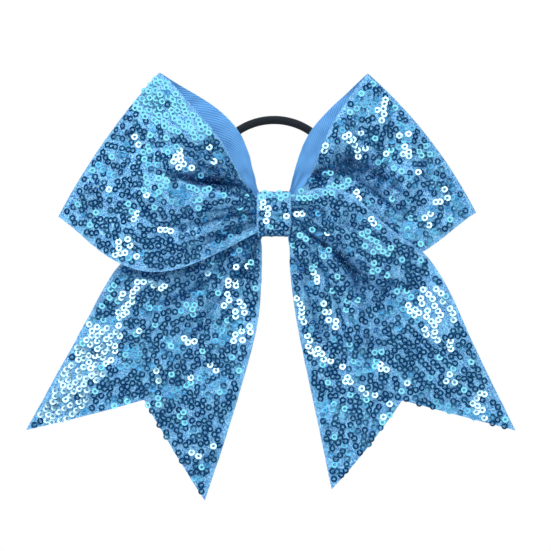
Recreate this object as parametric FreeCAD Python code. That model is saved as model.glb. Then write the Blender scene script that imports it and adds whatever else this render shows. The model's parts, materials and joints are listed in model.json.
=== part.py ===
"""A cheer hair bow: a ribbon folded into two loops and two tails, gathered under a wrapped knot.

Millimetres. Seen from the front, X runs to the right, Y runs back into the hair and Z is up. The origin is
the middle of the knot's back face, which sits against the ponytail. The ribbon has two layers all along it:
grosgrain inside and sequin fabric outside. It crosses itself at the knot, so the left loop's front runs over
into the right tail, and the right loop's front runs under it into the left tail.
"""

import FreeCAD, Part
import math
import os

V = FreeCAD.Vector

# Driving dimensions.
GROSGRAIN = 0.5
SEQUIN_FABRIC = 0.7
LAYER_GAP = 0.12
HAIR_TIE_THICKNESS = 3.0
HAIR_TIE_TOP_RADIUS = 25.0
HAIR_TIE_SIDE_RADIUS = 15.63
KNOT_WIDTH = 13.4
KNOT_HEIGHT = 16.6
GATHER_DEPTH = 3.6

# The knot from back to front: the wrap, the hair tie, then the three gathered bundles of ribbon.
WRAP_THICKNESS = GROSGRAIN + LAYER_GAP + SEQUIN_FABRIC
WRAP_CORNER = 4.0
CLEARANCE = 0.2
HAIR_TIE_Y = -WRAP_THICKNESS - CLEARANCE - HAIR_TIE_THICKNESS / 2
GATHER_GAP = 0.1
BACK_GATHER_Y = HAIR_TIE_Y - HAIR_TIE_THICKNESS / 2 - 2 * CLEARANCE - GATHER_DEPTH / 2
UNDER_GATHER_Y = BACK_GATHER_Y - GATHER_DEPTH - GATHER_GAP
OVER_GATHER_Y = UNDER_GATHER_Y - GATHER_DEPTH - GATHER_GAP
KNOT_FRONT_Y = OVER_GATHER_Y - GATHER_DEPTH / 2 - CLEARANCE - WRAP_THICKNESS
GATHER_HEIGHT = KNOT_HEIGHT - 2 * WRAP_THICKNESS - CLEARANCE
SIDE_X = KNOT_WIDTH / 2
LOOP_X = SIDE_X + 1.0
TAIL_X = SIDE_X + 1.4
GATHER_WIDTH = KNOT_WIDTH + 0.2
# The three bundles' pleats, and the groove between each two of them.
PLEATS = 5
PLEAT_GROOVE_RADIUS = 0.35
GATHER_FILLET = 0.9

# The hair tie: straight where it runs through the knot, a wide flattened ring above it, leaning back.
HAIR_TIE_Z = 3.5
HAIR_TIE_LEAN = 10.0
RUBBER_RADIUS = 1.05
JOIN_LENGTH = 8.0
JOIN_THICKNESS = 0.1
# How far the hair tie runs straight past each side of the knot before it bends.
HAIR_TIE_OVERHANG = 0.2

# The cable tie that cinches the three bundles, with its head at the back below the hair tie.
STRAP_WIDTH = 2.6
STRAP_THICKNESS = 0.9
HEAD_WIDTH = 4.4
HEAD_HEIGHT = 4.6
HEAD_RISE = 1.6
HEAD_WALL = 1.5
HEAD_FLOOR = 0.8
STRAP_ROOM = 0.05
BUNDLE_CORNER = 2.6

# The two pads of set glue inside the wrap's back, one each side of the cable tie's head.
GLUE_HEIGHT = 4.0
GLUE_Z = -4.4
GLUE_FILLET = 0.6
GLUE_TO_HEAD = 0.5
GLUE_TO_SIDE = 0.4

# Each tail bends across its width on a straight line below the loops, and a slot there leaves room for it.
BEND_SLOT = 2.4
LEFT_TAIL_Y = -12.0
RIGHT_TAIL_Y = -15.0
LEFT_BEND = (V(-64.8, LEFT_TAIL_Y, -25.0), V(-8.2, LEFT_TAIL_Y, -50.5))
RIGHT_BEND = (V(65.0, RIGHT_TAIL_Y, -23.0), V(10.0, RIGHT_TAIL_Y, -47.5))

# The two edges of each loop: out along the back, round the fold at the middle point, and back in front to
# the knot.
LEFT_LOOP_TOP = [
    (-LOOP_X, BACK_GATHER_Y, 6.6), (-8.5, -5.8, 18.0), (-13.1, -4.6, 31.6), (-24.0, -3.2, 43.2),
    (-37.0, -3.6, 51.2), (-44.8, -8.5, 55.9), (-40.0, -13.6, 51.0), (-29.0, -18.0, 39.0),
    (-19.0, -19.0, 26.0), (-11.5, -17.0, 12.0), (-LOOP_X, OVER_GATHER_Y, 6.5),
]
LEFT_LOOP_BOTTOM = [
    (-LOOP_X, BACK_GATHER_Y, -6.6), (-22.0, -5.4, -12.0), (-40.0, -3.6, -17.0),
    (-58.0, -3.0, -15.5), (-75.0, -3.6, -7.0), (-84.9, -8.5, -1.0), (-76.5, -13.6, -7.6),
    (-61.6, -18.0, -18.8), (-42.0, -19.5, -22.4), (-21.7, -17.5, -14.8),
    (-LOOP_X, OVER_GATHER_Y, -6.5),
]
RIGHT_LOOP_TOP = [
    (LOOP_X, BACK_GATHER_Y, 6.6), (8.3, -5.8, 18.0), (12.8, -4.6, 30.0), (20.5, -3.2, 40.3),
    (30.0, -3.6, 49.3), (36.7, -8.5, 55.5), (32.0, -12.6, 49.3), (24.0, -15.6, 37.0),
    (17.2, -16.0, 23.0), (12.4, -14.0, 11.5), (LOOP_X, UNDER_GATHER_Y, 6.5),
]
RIGHT_LOOP_BOTTOM = [
    (LOOP_X, BACK_GATHER_Y, -6.6), (22.0, -5.4, -11.5), (38.0, -3.6, -15.5), (54.0, -3.0, -13.5),
    (70.0, -3.6, -4.8), (79.5, -8.5, 0.6), (71.5, -11.8, -5.2), (56.9, -13.2, -15.6),
    (38.0, -13.6, -18.6), (20.0, -12.2, -12.6), (LOOP_X, UNDER_GATHER_Y, -6.5),
]
# The two edges of each tail's gathered head, from the knot to the bend, and of its free part, from the bend
# to the tips.
LEFT_HEAD_OUTER = [
    (-TAIL_X, UNDER_GATHER_Y, 6.0), (-19.0, -11.4, 3.0), (-33.0, -12.0, -3.0),
    (-47.5, -12.0, -10.5), (-58.0, -12.0, -17.2),
]
LEFT_HEAD_INNER = [
    (-TAIL_X, UNDER_GATHER_Y, -6.6), (-6.3, -11.4, -14.0), (-4.9, -12.0, -23.0),
    (-5.4, -12.0, -33.0), (-6.4, -12.0, -42.5),
]
RIGHT_HEAD_OUTER = [
    (TAIL_X, OVER_GATHER_Y, 6.5), (18.0, -19.5, 10.0), (30.5, -21.6, 7.6), (43.8, -20.5, -4.1),
    (57.4, -17.0, -14.0),
]
RIGHT_HEAD_INNER = [
    (TAIL_X, OVER_GATHER_Y, -6.6), (6.9, -15.8, -13.5), (6.6, -16.4, -21.5), (7.4, -16.2, -30.0),
    (8.6, -15.6, -39.0),
]
LEFT_FREE_OUTER = [(-73.5, -40.9), (-85.8, -63.6), (-97.7, -85.0)]
LEFT_FREE_INNER = [(-14.6, -73.0), (-21.0, -94.0), (-27.4, -113.0)]
RIGHT_FREE_OUTER = [(71.6, -35.6), (83.0, -60.4), (95.2, -85.2)]
RIGHT_FREE_INNER = [(14.4, -68.0), (18.8, -88.0), (22.8, -108.2)]
LEFT_NOTCH = (-51.0, -72.1)
RIGHT_NOTCH = (51.0, -74.5)

# How far the middle of the ribbon stands out from the straight line between its edges, in front and at the
# fold.
LEFT_LOOP_BELLY = 3.0
RIGHT_LOOP_BELLY = 1.5
LEFT_FOLD_BOW = 2.2
RIGHT_FOLD_BOW = 3.3
# Half the slot between a loop's two panels at the fold, as a share of the loop's length.
FOLD_SLOT = 0.004

# How many points each sheet's spline face passes through, along and across.
SHEET_ROWS = 9
SHEET_COLUMNS = 4


def natural_spline(points):
    """The natural cubic spline through evenly spaced points, as a function of a share from 0 to 1."""
    last = len(points) - 1
    curve = []
    for axis in range(3):
        values = [p[axis] for p in points]
        ratio, right = [0.0] * (last + 1), [0.0] * (last + 1)
        for i in range(1, last):
            scale = 4.0 - ratio[i - 1]
            ratio[i] = 1.0 / scale
            right[i] = (6.0 * (values[i + 1] - 2.0 * values[i] + values[i - 1]) - right[i - 1]) / scale
        second = [0.0] * (last + 1)
        for i in range(last - 1, 0, -1):
            second[i] = right[i] - ratio[i] * second[i + 1]
        curve.append((values, second))

    def at(share):
        place = min(max(share, 0.0), 1.0) * last
        i = min(int(place), last - 1)
        b = place - i
        a = 1.0 - b
        return V(*[
            a * y[i] + b * y[i + 1] + ((a**3 - a) * m[i] + (b**3 - b) * m[i + 1]) / 6.0
            for y, m in curve
        ])

    return at


def loop_surface(top, bottom, bow, belly, side):
    """A loop's mid surface: straight across between its edges, bowed at the fold and bellied in front."""
    upper, lower = natural_spline(top), natural_spline(bottom)
    outward = (lower(0.5) - upper(0.5)).cross(V(0, side, 0)).normalize()

    def at(u, t):
        across = 4.0 * t * (1.0 - t)
        front = max(0.0, math.sin(math.pi * (2.0 * u - 1.0)))
        bowed = outward * (bow * across * math.sin(math.pi * u) ** 4)
        return upper(u) * (1.0 - t) + lower(u) * t + bowed - V(0, belly * across * front, 0)

    return at


def ruled_surface(outer, inner):
    """A tail head's mid surface: straight across between its two edges."""
    first, second = natural_spline(outer), natural_spline(inner)
    return lambda u, t: first(u) * (1.0 - t) + second(u) * t


def normal(surface, u, t):
    """The unit normal of a surface, by differences."""
    step = 1e-3
    u0, u1 = max(u - step, 0.0), min(u + step, 1.0)
    t0, t1 = max(t - step, 0.0), min(t + step, 1.0)
    along = surface(u1, t) - surface(u0, t)
    across = surface(u, t1) - surface(u, t0)
    return along.cross(across).normalize()


def sheet(surface, low, high, u_low, u_high):
    """A closed sheet between two offsets of a surface, over a stretch of its length."""
    grid = []
    for i in range(SHEET_ROWS):
        u = u_low + (u_high - u_low) * i / (SHEET_ROWS - 1)
        shares = [j / (SHEET_COLUMNS - 1) for j in range(SHEET_COLUMNS)]
        grid.append([surface(u, t) + normal(surface, u, t) * low for t in shares])
    face = Part.BSplineSurface()
    face.interpolate(grid)
    return face.toShape().makeOffsetShape(high - low, 1e-3, fill=True)


def layer_offsets(outside):
    """The grosgrain's and the sequin fabric's lower and upper offsets, the fabric on the outside's side."""
    near = GROSGRAIN / 2 + LAYER_GAP
    fabric = sorted((outside * near, outside * (near + SEQUIN_FABRIC)))
    return {"grosgrain": (-GROSGRAIN / 2, GROSGRAIN / 2), "sequin_fabric": tuple(fabric)}


def loop_panels(word, side, top, bottom, bow, belly):
    """A loop's two layers, each in two panels that meet at the fold: the back and the front."""
    surface = loop_surface(top, bottom, bow, belly, side)
    panels = {}
    for name, (low, high) in layer_offsets(side).items():
        panels[word + "_loop_back_" + name] = sheet(surface, low, high, 0.0, 0.5 - FOLD_SLOT)
        panels[word + "_loop_front_" + name] = sheet(surface, low, high, 0.5 + FOLD_SLOT, 1.0)
    return panels


def across_bend(bend):
    """The unit vector in a tail's plane that points from its bend line towards its tips."""
    along = (bend[1] - bend[0]).normalize()
    down = V(0, 1, 0).cross(along)
    return down if down.z < 0 else down * -1


def head_layers(word, side, outer, inner, bend):
    """A tail head's two layers, from the knot to just above the bend."""
    back_off = across_bend(bend) * (-BEND_SLOT / 2)
    surface = ruled_surface(outer + [tuple(bend[0] + back_off)], inner + [tuple(bend[1] + back_off)])
    return {
        word + "_tail_head_" + name: sheet(surface, low, high, 0.0, 1.0)
        for name, (low, high) in layer_offsets(-side).items()
    }


def spline_edge(points):
    """A smooth edge through points."""
    curve = Part.BSplineCurve()
    curve.interpolate(points)
    return curve.toShape()


def free_layers(word, outer, inner, notch, bend):
    """A tail's two free layers: flat, from just below the bend to the V cut between the two tips."""
    down = across_bend(bend) * (BEND_SLOT / 2)
    y = bend[0].y
    outer_points = [bend[0] + down] + [V(x, y, z) for x, z in outer]
    inner_points = [bend[1] + down] + [V(x, y, z) for x, z in inner]
    middle = V(notch[0], y, notch[1])
    outline = Part.Wire([
        spline_edge(outer_points),
        Part.makeLine(outer_points[-1], middle),
        Part.makeLine(middle, inner_points[-1]),
        spline_edge(inner_points[::-1]),
        Part.makeLine(inner_points[0], outer_points[0]),
    ])
    layers = {}
    for name, (low, high) in layer_offsets(-1).items():
        plate = Part.Face(outline).extrude(V(0, high - low, 0))
        plate.translate(V(0, low, 0))
        layers[word + "_tail_" + name] = plate
    return layers


def rounded_bar(y_low, y_high, height, corner, width):
    """A bar along X with a rounded rectangular section, centred on X and Z."""
    half = height / 2
    c = corner
    k = c * (1 - math.sqrt(0.5))
    p = [
        V(0, y_low + c, -half), V(0, y_high - c, -half), V(0, y_high - k, -half + k),
        V(0, y_high, -half + c), V(0, y_high, half - c), V(0, y_high - k, half - k),
        V(0, y_high - c, half), V(0, y_low + c, half), V(0, y_low + k, half - k),
        V(0, y_low, half - c), V(0, y_low, -half + c), V(0, y_low + k, -half + k),
    ]
    edges = [
        Part.LineSegment(p[0], p[1]).toShape(), Part.Arc(p[1], p[2], p[3]).toShape(),
        Part.LineSegment(p[3], p[4]).toShape(), Part.Arc(p[4], p[5], p[6]).toShape(),
        Part.LineSegment(p[6], p[7]).toShape(), Part.Arc(p[7], p[8], p[9]).toShape(),
        Part.LineSegment(p[9], p[10]).toShape(), Part.Arc(p[10], p[11], p[0]).toShape(),
    ]
    bar = Part.Face(Part.Wire(edges)).extrude(V(width, 0, 0))
    bar.translate(V(-width / 2, 0, 0))
    return bar


def knot_ring(inset, thickness):
    """One layer of the knot's wrap, inset from its outside."""
    bars = []
    for depth, width in ((inset, KNOT_WIDTH), (inset + thickness, KNOT_WIDTH + 2)):
        height = KNOT_HEIGHT - 2 * depth
        bars.append(rounded_bar(KNOT_FRONT_Y + depth, -depth, height, WRAP_CORNER - depth, width))
    return bars[0].cut(bars[1])


def cable_tie():
    """The strap round the three bundles and its head."""
    t = STRAP_THICKNESS
    y_high = BACK_GATHER_Y + GATHER_DEPTH / 2
    strap = bundle_envelope(STRAP_WIDTH).cut(bundle_envelope(STRAP_WIDTH + 2, t))
    head_depth = -WRAP_THICKNESS - CLEARANCE - y_high
    head_z = -GATHER_HEIGHT / 2 + HEAD_RISE
    head = Part.makeBox(HEAD_WIDTH, head_depth + t, HEAD_HEIGHT, V(-HEAD_WIDTH / 2, y_high - t, head_z))
    window_corner = V(-STRAP_WIDTH / 2, y_high + HEAD_FLOOR, head_z + HEAD_WALL)
    window = Part.makeBox(STRAP_WIDTH, head_depth, HEAD_HEIGHT - 2 * HEAD_WALL, window_corner)
    return strap.fuse(head.cut(window)).removeSplitter()


def bundle_envelope(width, inset=0.0):
    """The rounded bar that the three bundles fill between them, or one inset from it."""
    y_low = OVER_GATHER_Y - GATHER_DEPTH / 2 + inset
    y_high = BACK_GATHER_Y + GATHER_DEPTH / 2 - inset
    return rounded_bar(y_low, y_high, GATHER_HEIGHT - 2 * inset, BUNDLE_CORNER - inset, width)


def edges_along(shape, direction):
    """A shape's straight edges along a direction."""
    return [e for e in shape.Edges if abs(e.tangentAt(e.FirstParameter).dot(direction)) > 0.9]


def gathered_bundle(y_centre, strap):
    """One pass of the ribbon through the knot: its pleats pressed together, with the cable tie's groove."""
    end_x = -GATHER_WIDTH / 2
    corner = V(end_x, y_centre - GATHER_DEPTH / 2, -GATHER_HEIGHT / 2)
    block = Part.makeBox(GATHER_WIDTH, GATHER_DEPTH, GATHER_HEIGHT, corner)
    block = block.makeFillet(GATHER_FILLET, edges_along(block, V(1, 0, 0)))
    pitch = GATHER_HEIGHT / PLEATS
    for face_y in (y_centre - GATHER_DEPTH / 2, y_centre + GATHER_DEPTH / 2):
        for i in range(1, PLEATS):
            centre = V(end_x, face_y, -GATHER_HEIGHT / 2 + i * pitch)
            block = block.cut(Part.makeCylinder(PLEAT_GROOVE_RADIUS, GATHER_WIDTH, centre, V(1, 0, 0)))
    return block.common(bundle_envelope(GATHER_WIDTH)).cut(strap)


def strap_room():
    """The groove in the bundles for the cable tie: its strap and the root of its head, with a little room."""
    room = STRAP_ROOM
    t = STRAP_THICKNESS + room
    y_high = BACK_GATHER_Y + GATHER_DEPTH / 2
    groove = bundle_envelope(STRAP_WIDTH + 2 * room, -1.0).cut(bundle_envelope(STRAP_WIDTH + 2, t))
    corner = V(-HEAD_WIDTH / 2 - room, y_high - t, -GATHER_HEIGHT / 2 + HEAD_RISE - room)
    head = Part.makeBox(HEAD_WIDTH + 2 * room, t + 1, HEAD_HEIGHT + 2 * room, corner)
    return groove.fuse(head)


def hair_tie_ring(radius):
    """The hair tie's closed ring at one section radius: straight in the knot, two side arcs and a flat top arc."""
    half = SIDE_X + HAIR_TIE_OVERHANG
    side_radius = HAIR_TIE_SIDE_RADIUS
    top_half_angle = math.asin(half / (HAIR_TIE_TOP_RADIUS - side_radius))
    pieces = [Part.makeCylinder(radius, 2 * half, V(-half, 0, 0), V(1, 0, 0))]
    for side in (1, -1):
        section = Part.Face(Part.Wire(Part.makeCircle(radius, V(side * half, 0, 0), V(1, 0, 0))))
        turn = 180.0 - math.degrees(top_half_angle)
        pieces.append(section.revolve(V(side * half, 0, side_radius), V(0, -side, 0), turn))
    join_z = side_radius * (1 + math.cos(top_half_angle))
    centre = V(0, 0, join_z - HAIR_TIE_TOP_RADIUS * math.cos(top_half_angle))
    start = V(HAIR_TIE_TOP_RADIUS * math.sin(top_half_angle), 0, join_z)
    tangent = V(-math.cos(top_half_angle), 0, math.sin(top_half_angle))
    section = Part.Face(Part.Wire(Part.makeCircle(radius, start, tangent)))
    pieces.append(section.revolve(centre, V(0, -1, 0), 2 * math.degrees(top_half_angle)))
    ring = pieces[0].fuse(pieces[1:])
    return placed_on_hinge(ring)


def placed_on_hinge(shape):
    """A piece of the hair tie, moved onto its hinge axis and leant back."""
    shape.rotate(V(0, 0, 0), V(1, 0, 0), -HAIR_TIE_LEAN)
    shape.translate(V(0, HAIR_TIE_Y, HAIR_TIE_Z))
    return shape


def hair_tie_join():
    """The thin sleeve over the hair tie's glued ends, inside the knot."""
    outer = HAIR_TIE_THICKNESS / 2 + JOIN_THICKNESS
    sleeve = Part.makeCylinder(outer, JOIN_LENGTH, V(-JOIN_LENGTH / 2, 0, 0), V(1, 0, 0))
    bore_start = V(-JOIN_LENGTH / 2 - 1, 0, 0)
    bore = Part.makeCylinder(HAIR_TIE_THICKNESS / 2, JOIN_LENGTH + 2, bore_start, V(1, 0, 0))
    return placed_on_hinge(sleeve.cut(bore))


def knot_glue():
    """Two pads of set glue inside the wrap's back, one each side of the cable tie's head."""
    y_low = BACK_GATHER_Y + GATHER_DEPTH / 2
    depth = -WRAP_THICKNESS - y_low
    width = SIDE_X - HEAD_WIDTH / 2 - GLUE_TO_HEAD - GLUE_TO_SIDE
    pads = []
    for side in (-1, 1):
        x = side * (HEAD_WIDTH / 2 + GLUE_TO_HEAD + width / 2) - width / 2
        pad = Part.makeBox(width, depth, GLUE_HEIGHT, V(x, y_low, GLUE_Z))
        pads.append(pad.makeFillet(GLUE_FILLET, edges_along(pad, V(0, 1, 0))))
    return Part.makeCompound(pads)


def build():
    """Every node and its shape."""
    nodes = {}
    nodes.update(loop_panels("left", -1, LEFT_LOOP_TOP, LEFT_LOOP_BOTTOM, LEFT_FOLD_BOW, LEFT_LOOP_BELLY))
    nodes.update(loop_panels("right", 1, RIGHT_LOOP_TOP, RIGHT_LOOP_BOTTOM, RIGHT_FOLD_BOW, RIGHT_LOOP_BELLY))
    nodes.update(head_layers("left", -1, LEFT_HEAD_OUTER, LEFT_HEAD_INNER, LEFT_BEND))
    nodes.update(head_layers("right", 1, RIGHT_HEAD_OUTER, RIGHT_HEAD_INNER, RIGHT_BEND))
    nodes.update(free_layers("left", LEFT_FREE_OUTER, LEFT_FREE_INNER, LEFT_NOTCH, LEFT_BEND))
    nodes.update(free_layers("right", RIGHT_FREE_OUTER, RIGHT_FREE_INNER, RIGHT_NOTCH, RIGHT_BEND))
    strap = strap_room()
    nodes["over_gather"] = gathered_bundle(OVER_GATHER_Y, strap)
    nodes["under_gather"] = gathered_bundle(UNDER_GATHER_Y, strap)
    nodes["back_gather"] = gathered_bundle(BACK_GATHER_Y, strap)
    nodes["cable_tie"] = cable_tie()
    nodes["knot_wrap_sequin_fabric"] = knot_ring(0.0, SEQUIN_FABRIC)
    nodes["knot_wrap_grosgrain"] = knot_ring(SEQUIN_FABRIC + LAYER_GAP, GROSGRAIN)
    nodes["knot_glue"] = knot_glue()
    rubber = hair_tie_ring(RUBBER_RADIUS)
    nodes["hair_tie_rubber"] = rubber
    nodes["hair_tie_braid"] = hair_tie_ring(HAIR_TIE_THICKNESS / 2).cut(rubber)
    nodes["hair_tie_join"] = hair_tie_join()
    return nodes


def main():
    os.makedirs("parts", exist_ok=True)
    for name, shape in build().items():
        shape.exportStep("parts/" + name + ".step")
        box = shape.BoundBox
        print(
            f"{name}: {len(shape.Solids)} solids, valid {shape.isValid()}, {shape.Volume:.0f} mm3, "
            f"{box.XLength:.1f} x {box.YLength:.1f} x {box.ZLength:.1f}"
        )


main()
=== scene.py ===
"""The looks of the cheer hair bow: pleated ribbon, ring sequins, the wrapped knot and the braided hair tie.

Shapes are worked out in millimetres, in the frame's axes: +X to the right from the front, +Y back, +Z up.
"""

import json
import logging
import math
from collections.abc import Callable, Sequence
from dataclasses import dataclass, field
from enum import Enum

import bpy
import mathutils
import numpy as np
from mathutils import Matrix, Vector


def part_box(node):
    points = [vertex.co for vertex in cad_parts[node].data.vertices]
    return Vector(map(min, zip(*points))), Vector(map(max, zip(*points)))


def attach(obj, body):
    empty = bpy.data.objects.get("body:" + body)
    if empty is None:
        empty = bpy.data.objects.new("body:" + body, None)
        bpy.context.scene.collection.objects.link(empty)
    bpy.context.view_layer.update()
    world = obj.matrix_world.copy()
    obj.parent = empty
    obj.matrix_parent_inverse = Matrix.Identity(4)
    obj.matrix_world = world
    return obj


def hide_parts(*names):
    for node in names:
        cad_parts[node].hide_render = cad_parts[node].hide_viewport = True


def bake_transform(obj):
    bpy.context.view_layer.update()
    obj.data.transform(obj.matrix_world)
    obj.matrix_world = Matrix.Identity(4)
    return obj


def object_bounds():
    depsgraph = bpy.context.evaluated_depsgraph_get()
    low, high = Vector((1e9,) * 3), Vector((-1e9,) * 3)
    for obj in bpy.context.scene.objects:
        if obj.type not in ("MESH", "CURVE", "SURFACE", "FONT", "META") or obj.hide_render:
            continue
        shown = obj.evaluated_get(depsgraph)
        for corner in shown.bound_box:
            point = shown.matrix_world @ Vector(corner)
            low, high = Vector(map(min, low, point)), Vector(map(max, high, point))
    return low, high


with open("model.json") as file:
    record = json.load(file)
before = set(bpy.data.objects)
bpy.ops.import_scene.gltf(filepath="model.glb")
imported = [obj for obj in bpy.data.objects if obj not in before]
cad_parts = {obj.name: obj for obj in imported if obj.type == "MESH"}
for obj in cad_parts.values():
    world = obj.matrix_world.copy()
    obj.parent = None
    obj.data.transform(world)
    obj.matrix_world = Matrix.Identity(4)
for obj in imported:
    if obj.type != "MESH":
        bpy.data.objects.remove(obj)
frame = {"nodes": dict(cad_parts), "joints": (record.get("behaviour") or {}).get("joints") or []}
CAD_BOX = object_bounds()

LOG = logging.getLogger("hair_bow")
Array = np.ndarray
Material = bpy.types.Material
Node = bpy.types.Node
Piece = bpy.types.Object
Socket = bpy.types.NodeSocket
Tree = bpy.types.NodeTree
Value = Socket | float | tuple[float, ...]
Point = tuple[float, float, float]

METRES_PER_MM = 0.001
RIBBON_WIDTH = 76.0
GROSGRAIN_THICKNESS = 0.4
FABRIC_GAP = 0.05
FABRIC_THICKNESS = 0.35
HEM_WIDTH = 1.7
BACK_HEM_WIDTH = 3.2
FULL_SHADE = 5.0
KEY_DIRECTION = (-0.22, -0.80, 0.55)
PANEL_DIRECTION = (0.30, -0.78, 0.55)
CLOTH_ATTRIBUTE = "cloth_mm"
SHADE_ATTRIBUTE = "shade"
MIX_FACTOR, MIX_A, MIX_B, MIX_RESULT = 0, 6, 7, 2
SHEEN_ROUGHNESS = 0.4


class Side(Enum):
    """Which half of the bow a piece is in, seen from the front."""

    LEFT = -1
    RIGHT = 1

    @property
    def word(self) -> str:
        """The side's name as the nodes spell it."""
        return self.name.lower()


class Glow(Enum):
    """What a sequin mirrors to the front: the key light, the wide dim panel, or the dark room.

    A loose one lies any way, so that many show their thin edges.
    """

    HOT = 2
    SOFT = 1
    DARK = 0
    LOOSE = -1


# ---------------------------------------------------------------- arrays


def natural_spline(points: Sequence[Sequence[float]]) -> Callable[[Array], Array]:
    """The natural cubic spline through evenly spaced points.

    The second derivatives solve the usual tridiagonal system, with none at the two ends.

    Args:
        points: The points to pass through, in order.

    Returns:
        A function from an array of shares, 0 at the first point and 1 at the last, to an array of points.
    """
    y = np.asarray(points, float)
    count = len(y)
    system = np.eye(count)
    right = np.zeros_like(y)
    inner = np.arange(1, count - 1)
    system[inner, inner - 1] = system[inner, inner + 1] = 1.0
    system[inner, inner] = 4.0
    right[inner] = 6.0 * (y[inner + 1] - 2.0 * y[inner] + y[inner - 1])
    bend = np.linalg.solve(system, right)

    def at(share: Array) -> Array:
        """The points at an array of shares.

        Args:
            share: Shares from 0 to 1.

        Returns:
            The points, along a new last axis.
        """
        place = np.clip(share, 0.0, 1.0) * (count - 1)
        i = np.minimum(place.astype(int), count - 2)
        b = (place - i)[..., None]
        a = 1.0 - b
        return a * y[i] + b * y[i + 1] + ((a**3 - a) * bend[i] + (b**3 - b) * bend[i + 1]) / 6.0

    return at


def smooth_step(x: Array) -> Array:
    """Rises from 0 to 1 as x does, with level ends: 3x^2 - 2x^3."""
    x = np.clip(x, 0.0, 1.0)
    return x * x * (3.0 - 2.0 * x)


def running(steps: Array) -> Array:
    """The running total of an array of steps, from 0."""
    return np.concatenate([[0.0], np.cumsum(steps)])


def stacked(*parts: Array | float) -> Array:
    """Arrays in the shape that they share, stacked along a new last axis."""
    return np.stack(np.broadcast_arrays(*parts), -1)


def unit(vectors: Array) -> Array:
    """Vectors along the last axis, made one long."""
    return vectors / np.maximum(np.linalg.norm(vectors, axis=-1, keepdims=True), 1e-12)


def ripple(along: Array, across: Array, seed: int, shortest: float, longest: float) -> Array:
    """A smooth random field of about unit height: a sum of seeded plane waves.

    Args:
        along: Millimetres along the cloth.
        across: Millimetres across it.
        seed: Picks the waves.
        shortest: The shortest wavelength.
        longest: The longest wavelength.

    Returns:
        The field, in the shape of its arguments.
    """
    draw = np.random.default_rng(seed)
    waves = 9
    length = draw.uniform(shortest, longest, waves)
    heading = draw.uniform(0.0, math.tau, waves)
    phase = draw.uniform(0.0, math.tau, waves)
    place = along[..., None] * np.cos(heading) + across[..., None] * np.sin(heading)
    return np.sin(place * math.tau / length + phase).sum(-1) / math.sqrt(waves / 2.0)


# ---------------------------------------------------------------- meshes


def grid_quads(rows: int, columns: int, closed_rows: bool = False, closed_columns: bool = False) -> Array:
    """The quads of a grid of points, numbered row by row, whose last row or column may join its first.

    Args:
        rows: How many rows of points there are.
        columns: How many points each row has.
        closed_rows: Whether the last row joins the first.
        closed_columns: Whether each row's last point joins its first.

    Returns:
        One row of four point numbers for each quad.
    """
    i = np.arange(rows if closed_rows else rows - 1)[:, None]
    j = np.arange(columns if closed_columns else columns - 1)[None, :]
    k, m = (i + 1) % rows, (j + 1) % columns
    corners = (i * columns + j, k * columns + j, k * columns + m, i * columns + m)
    return stacked(*corners).reshape(-1, 4)


def outward(points: Array, quads: Array) -> Array:
    """The quads, turned over if the closed mesh that they make has a negative volume.

    Args:
        points: The mesh's points.
        quads: Its faces, by the numbers of their points.

    Returns:
        The quads, facing outwards.
    """
    a, b, c, d = (points[quads[:, i]] for i in range(4))
    volume = (np.cross(b - a, c - a) * a + np.cross(c - a, d - a) * a).sum()
    return quads if volume > 0 else quads[:, ::-1]


def make_piece(
    name: str,
    points: Array,
    quads: Array,
    material: Material,
    cloth: Array | None = None,
    shade: Array | None = None,
    smooth_angle: float = 50.0,
    second: tuple[Material, int] | None = None,
) -> Piece:
    """A mesh object at the origin, from points in millimetres.

    Args:
        name: The object's name.
        points: One row of x, y, z for each vertex.
        quads: One row of four vertex numbers for each face.
        material: The piece's material.
        cloth: Millimetres along and across the cloth at each vertex.
        shade: A number from 0 to 1 at each vertex, which varies a finish: the fabric's painted shade in its
            creases, or a ring's film colour with its painted highlight.
        smooth_angle: Edges sharper than this, in degrees, stay sharp; 0 leaves every face flat.
        second: Another material, and the number of the face from which it takes over.

    Returns:
        The object.
    """
    mesh = bpy.data.meshes.new(name)
    mesh.from_pydata((points * METRES_PER_MM).tolist(), [], quads.tolist())
    mesh.materials.append(material)
    if second is not None:
        mesh.materials.append(second[0])
        mesh.polygons.foreach_set("material_index", (np.arange(len(quads)) >= second[1]).astype(np.int32))
    if cloth is not None:
        layer = mesh.attributes.new(CLOTH_ATTRIBUTE, "FLOAT_VECTOR", "POINT")
        layer.data.foreach_set("vector", np.pad(cloth, ((0, 0), (0, 1))).astype(np.float32).ravel())
    if shade is not None:
        layer = mesh.attributes.new(SHADE_ATTRIBUTE, "FLOAT", "POINT")
        layer.data.foreach_set("value", shade.astype(np.float32).ravel())
    if smooth_angle > 0.0:
        mesh.polygons.foreach_set("use_smooth", np.ones(len(mesh.polygons), bool))
        mesh.set_sharp_from_angle(angle=math.radians(smooth_angle))
    piece = bpy.data.objects.new(name, mesh)
    bpy.context.scene.collection.objects.link(piece)
    return piece


def thick_sheet(low: Array, high: Array, closed_rows: bool = False) -> tuple[Array, Array]:
    """A closed sheet between two grids of points: both grids and the strips between their borders.

    Args:
        low: One face, rows by columns by 3.
        high: The other face, in the same shape.
        closed_rows: Whether the last row joins the first, as round a band.

    Returns:
        The points, low first, and the quads, facing outwards.
    """
    rows, columns = low.shape[:2]
    points = np.concatenate([low.reshape(-1, 3), high.reshape(-1, 3)])
    face = grid_quads(rows, columns, closed_rows)
    index = np.arange(rows * columns).reshape(rows, columns)
    borders = [index[:, 0], index[::-1, -1]] + ([] if closed_rows else [index[0, ::-1], index[-1]])
    strips = []
    for line in borders:
        a, b = (line, np.roll(line, -1)) if closed_rows else (line[:-1], line[1:])
        strips.append(np.stack([a, b, b + rows * columns, a + rows * columns], -1))
    quads = np.concatenate([face[:, ::-1], face + rows * columns, *strips])
    return points, outward(points, quads)


# ---------------------------------------------------------------- finishes


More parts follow.
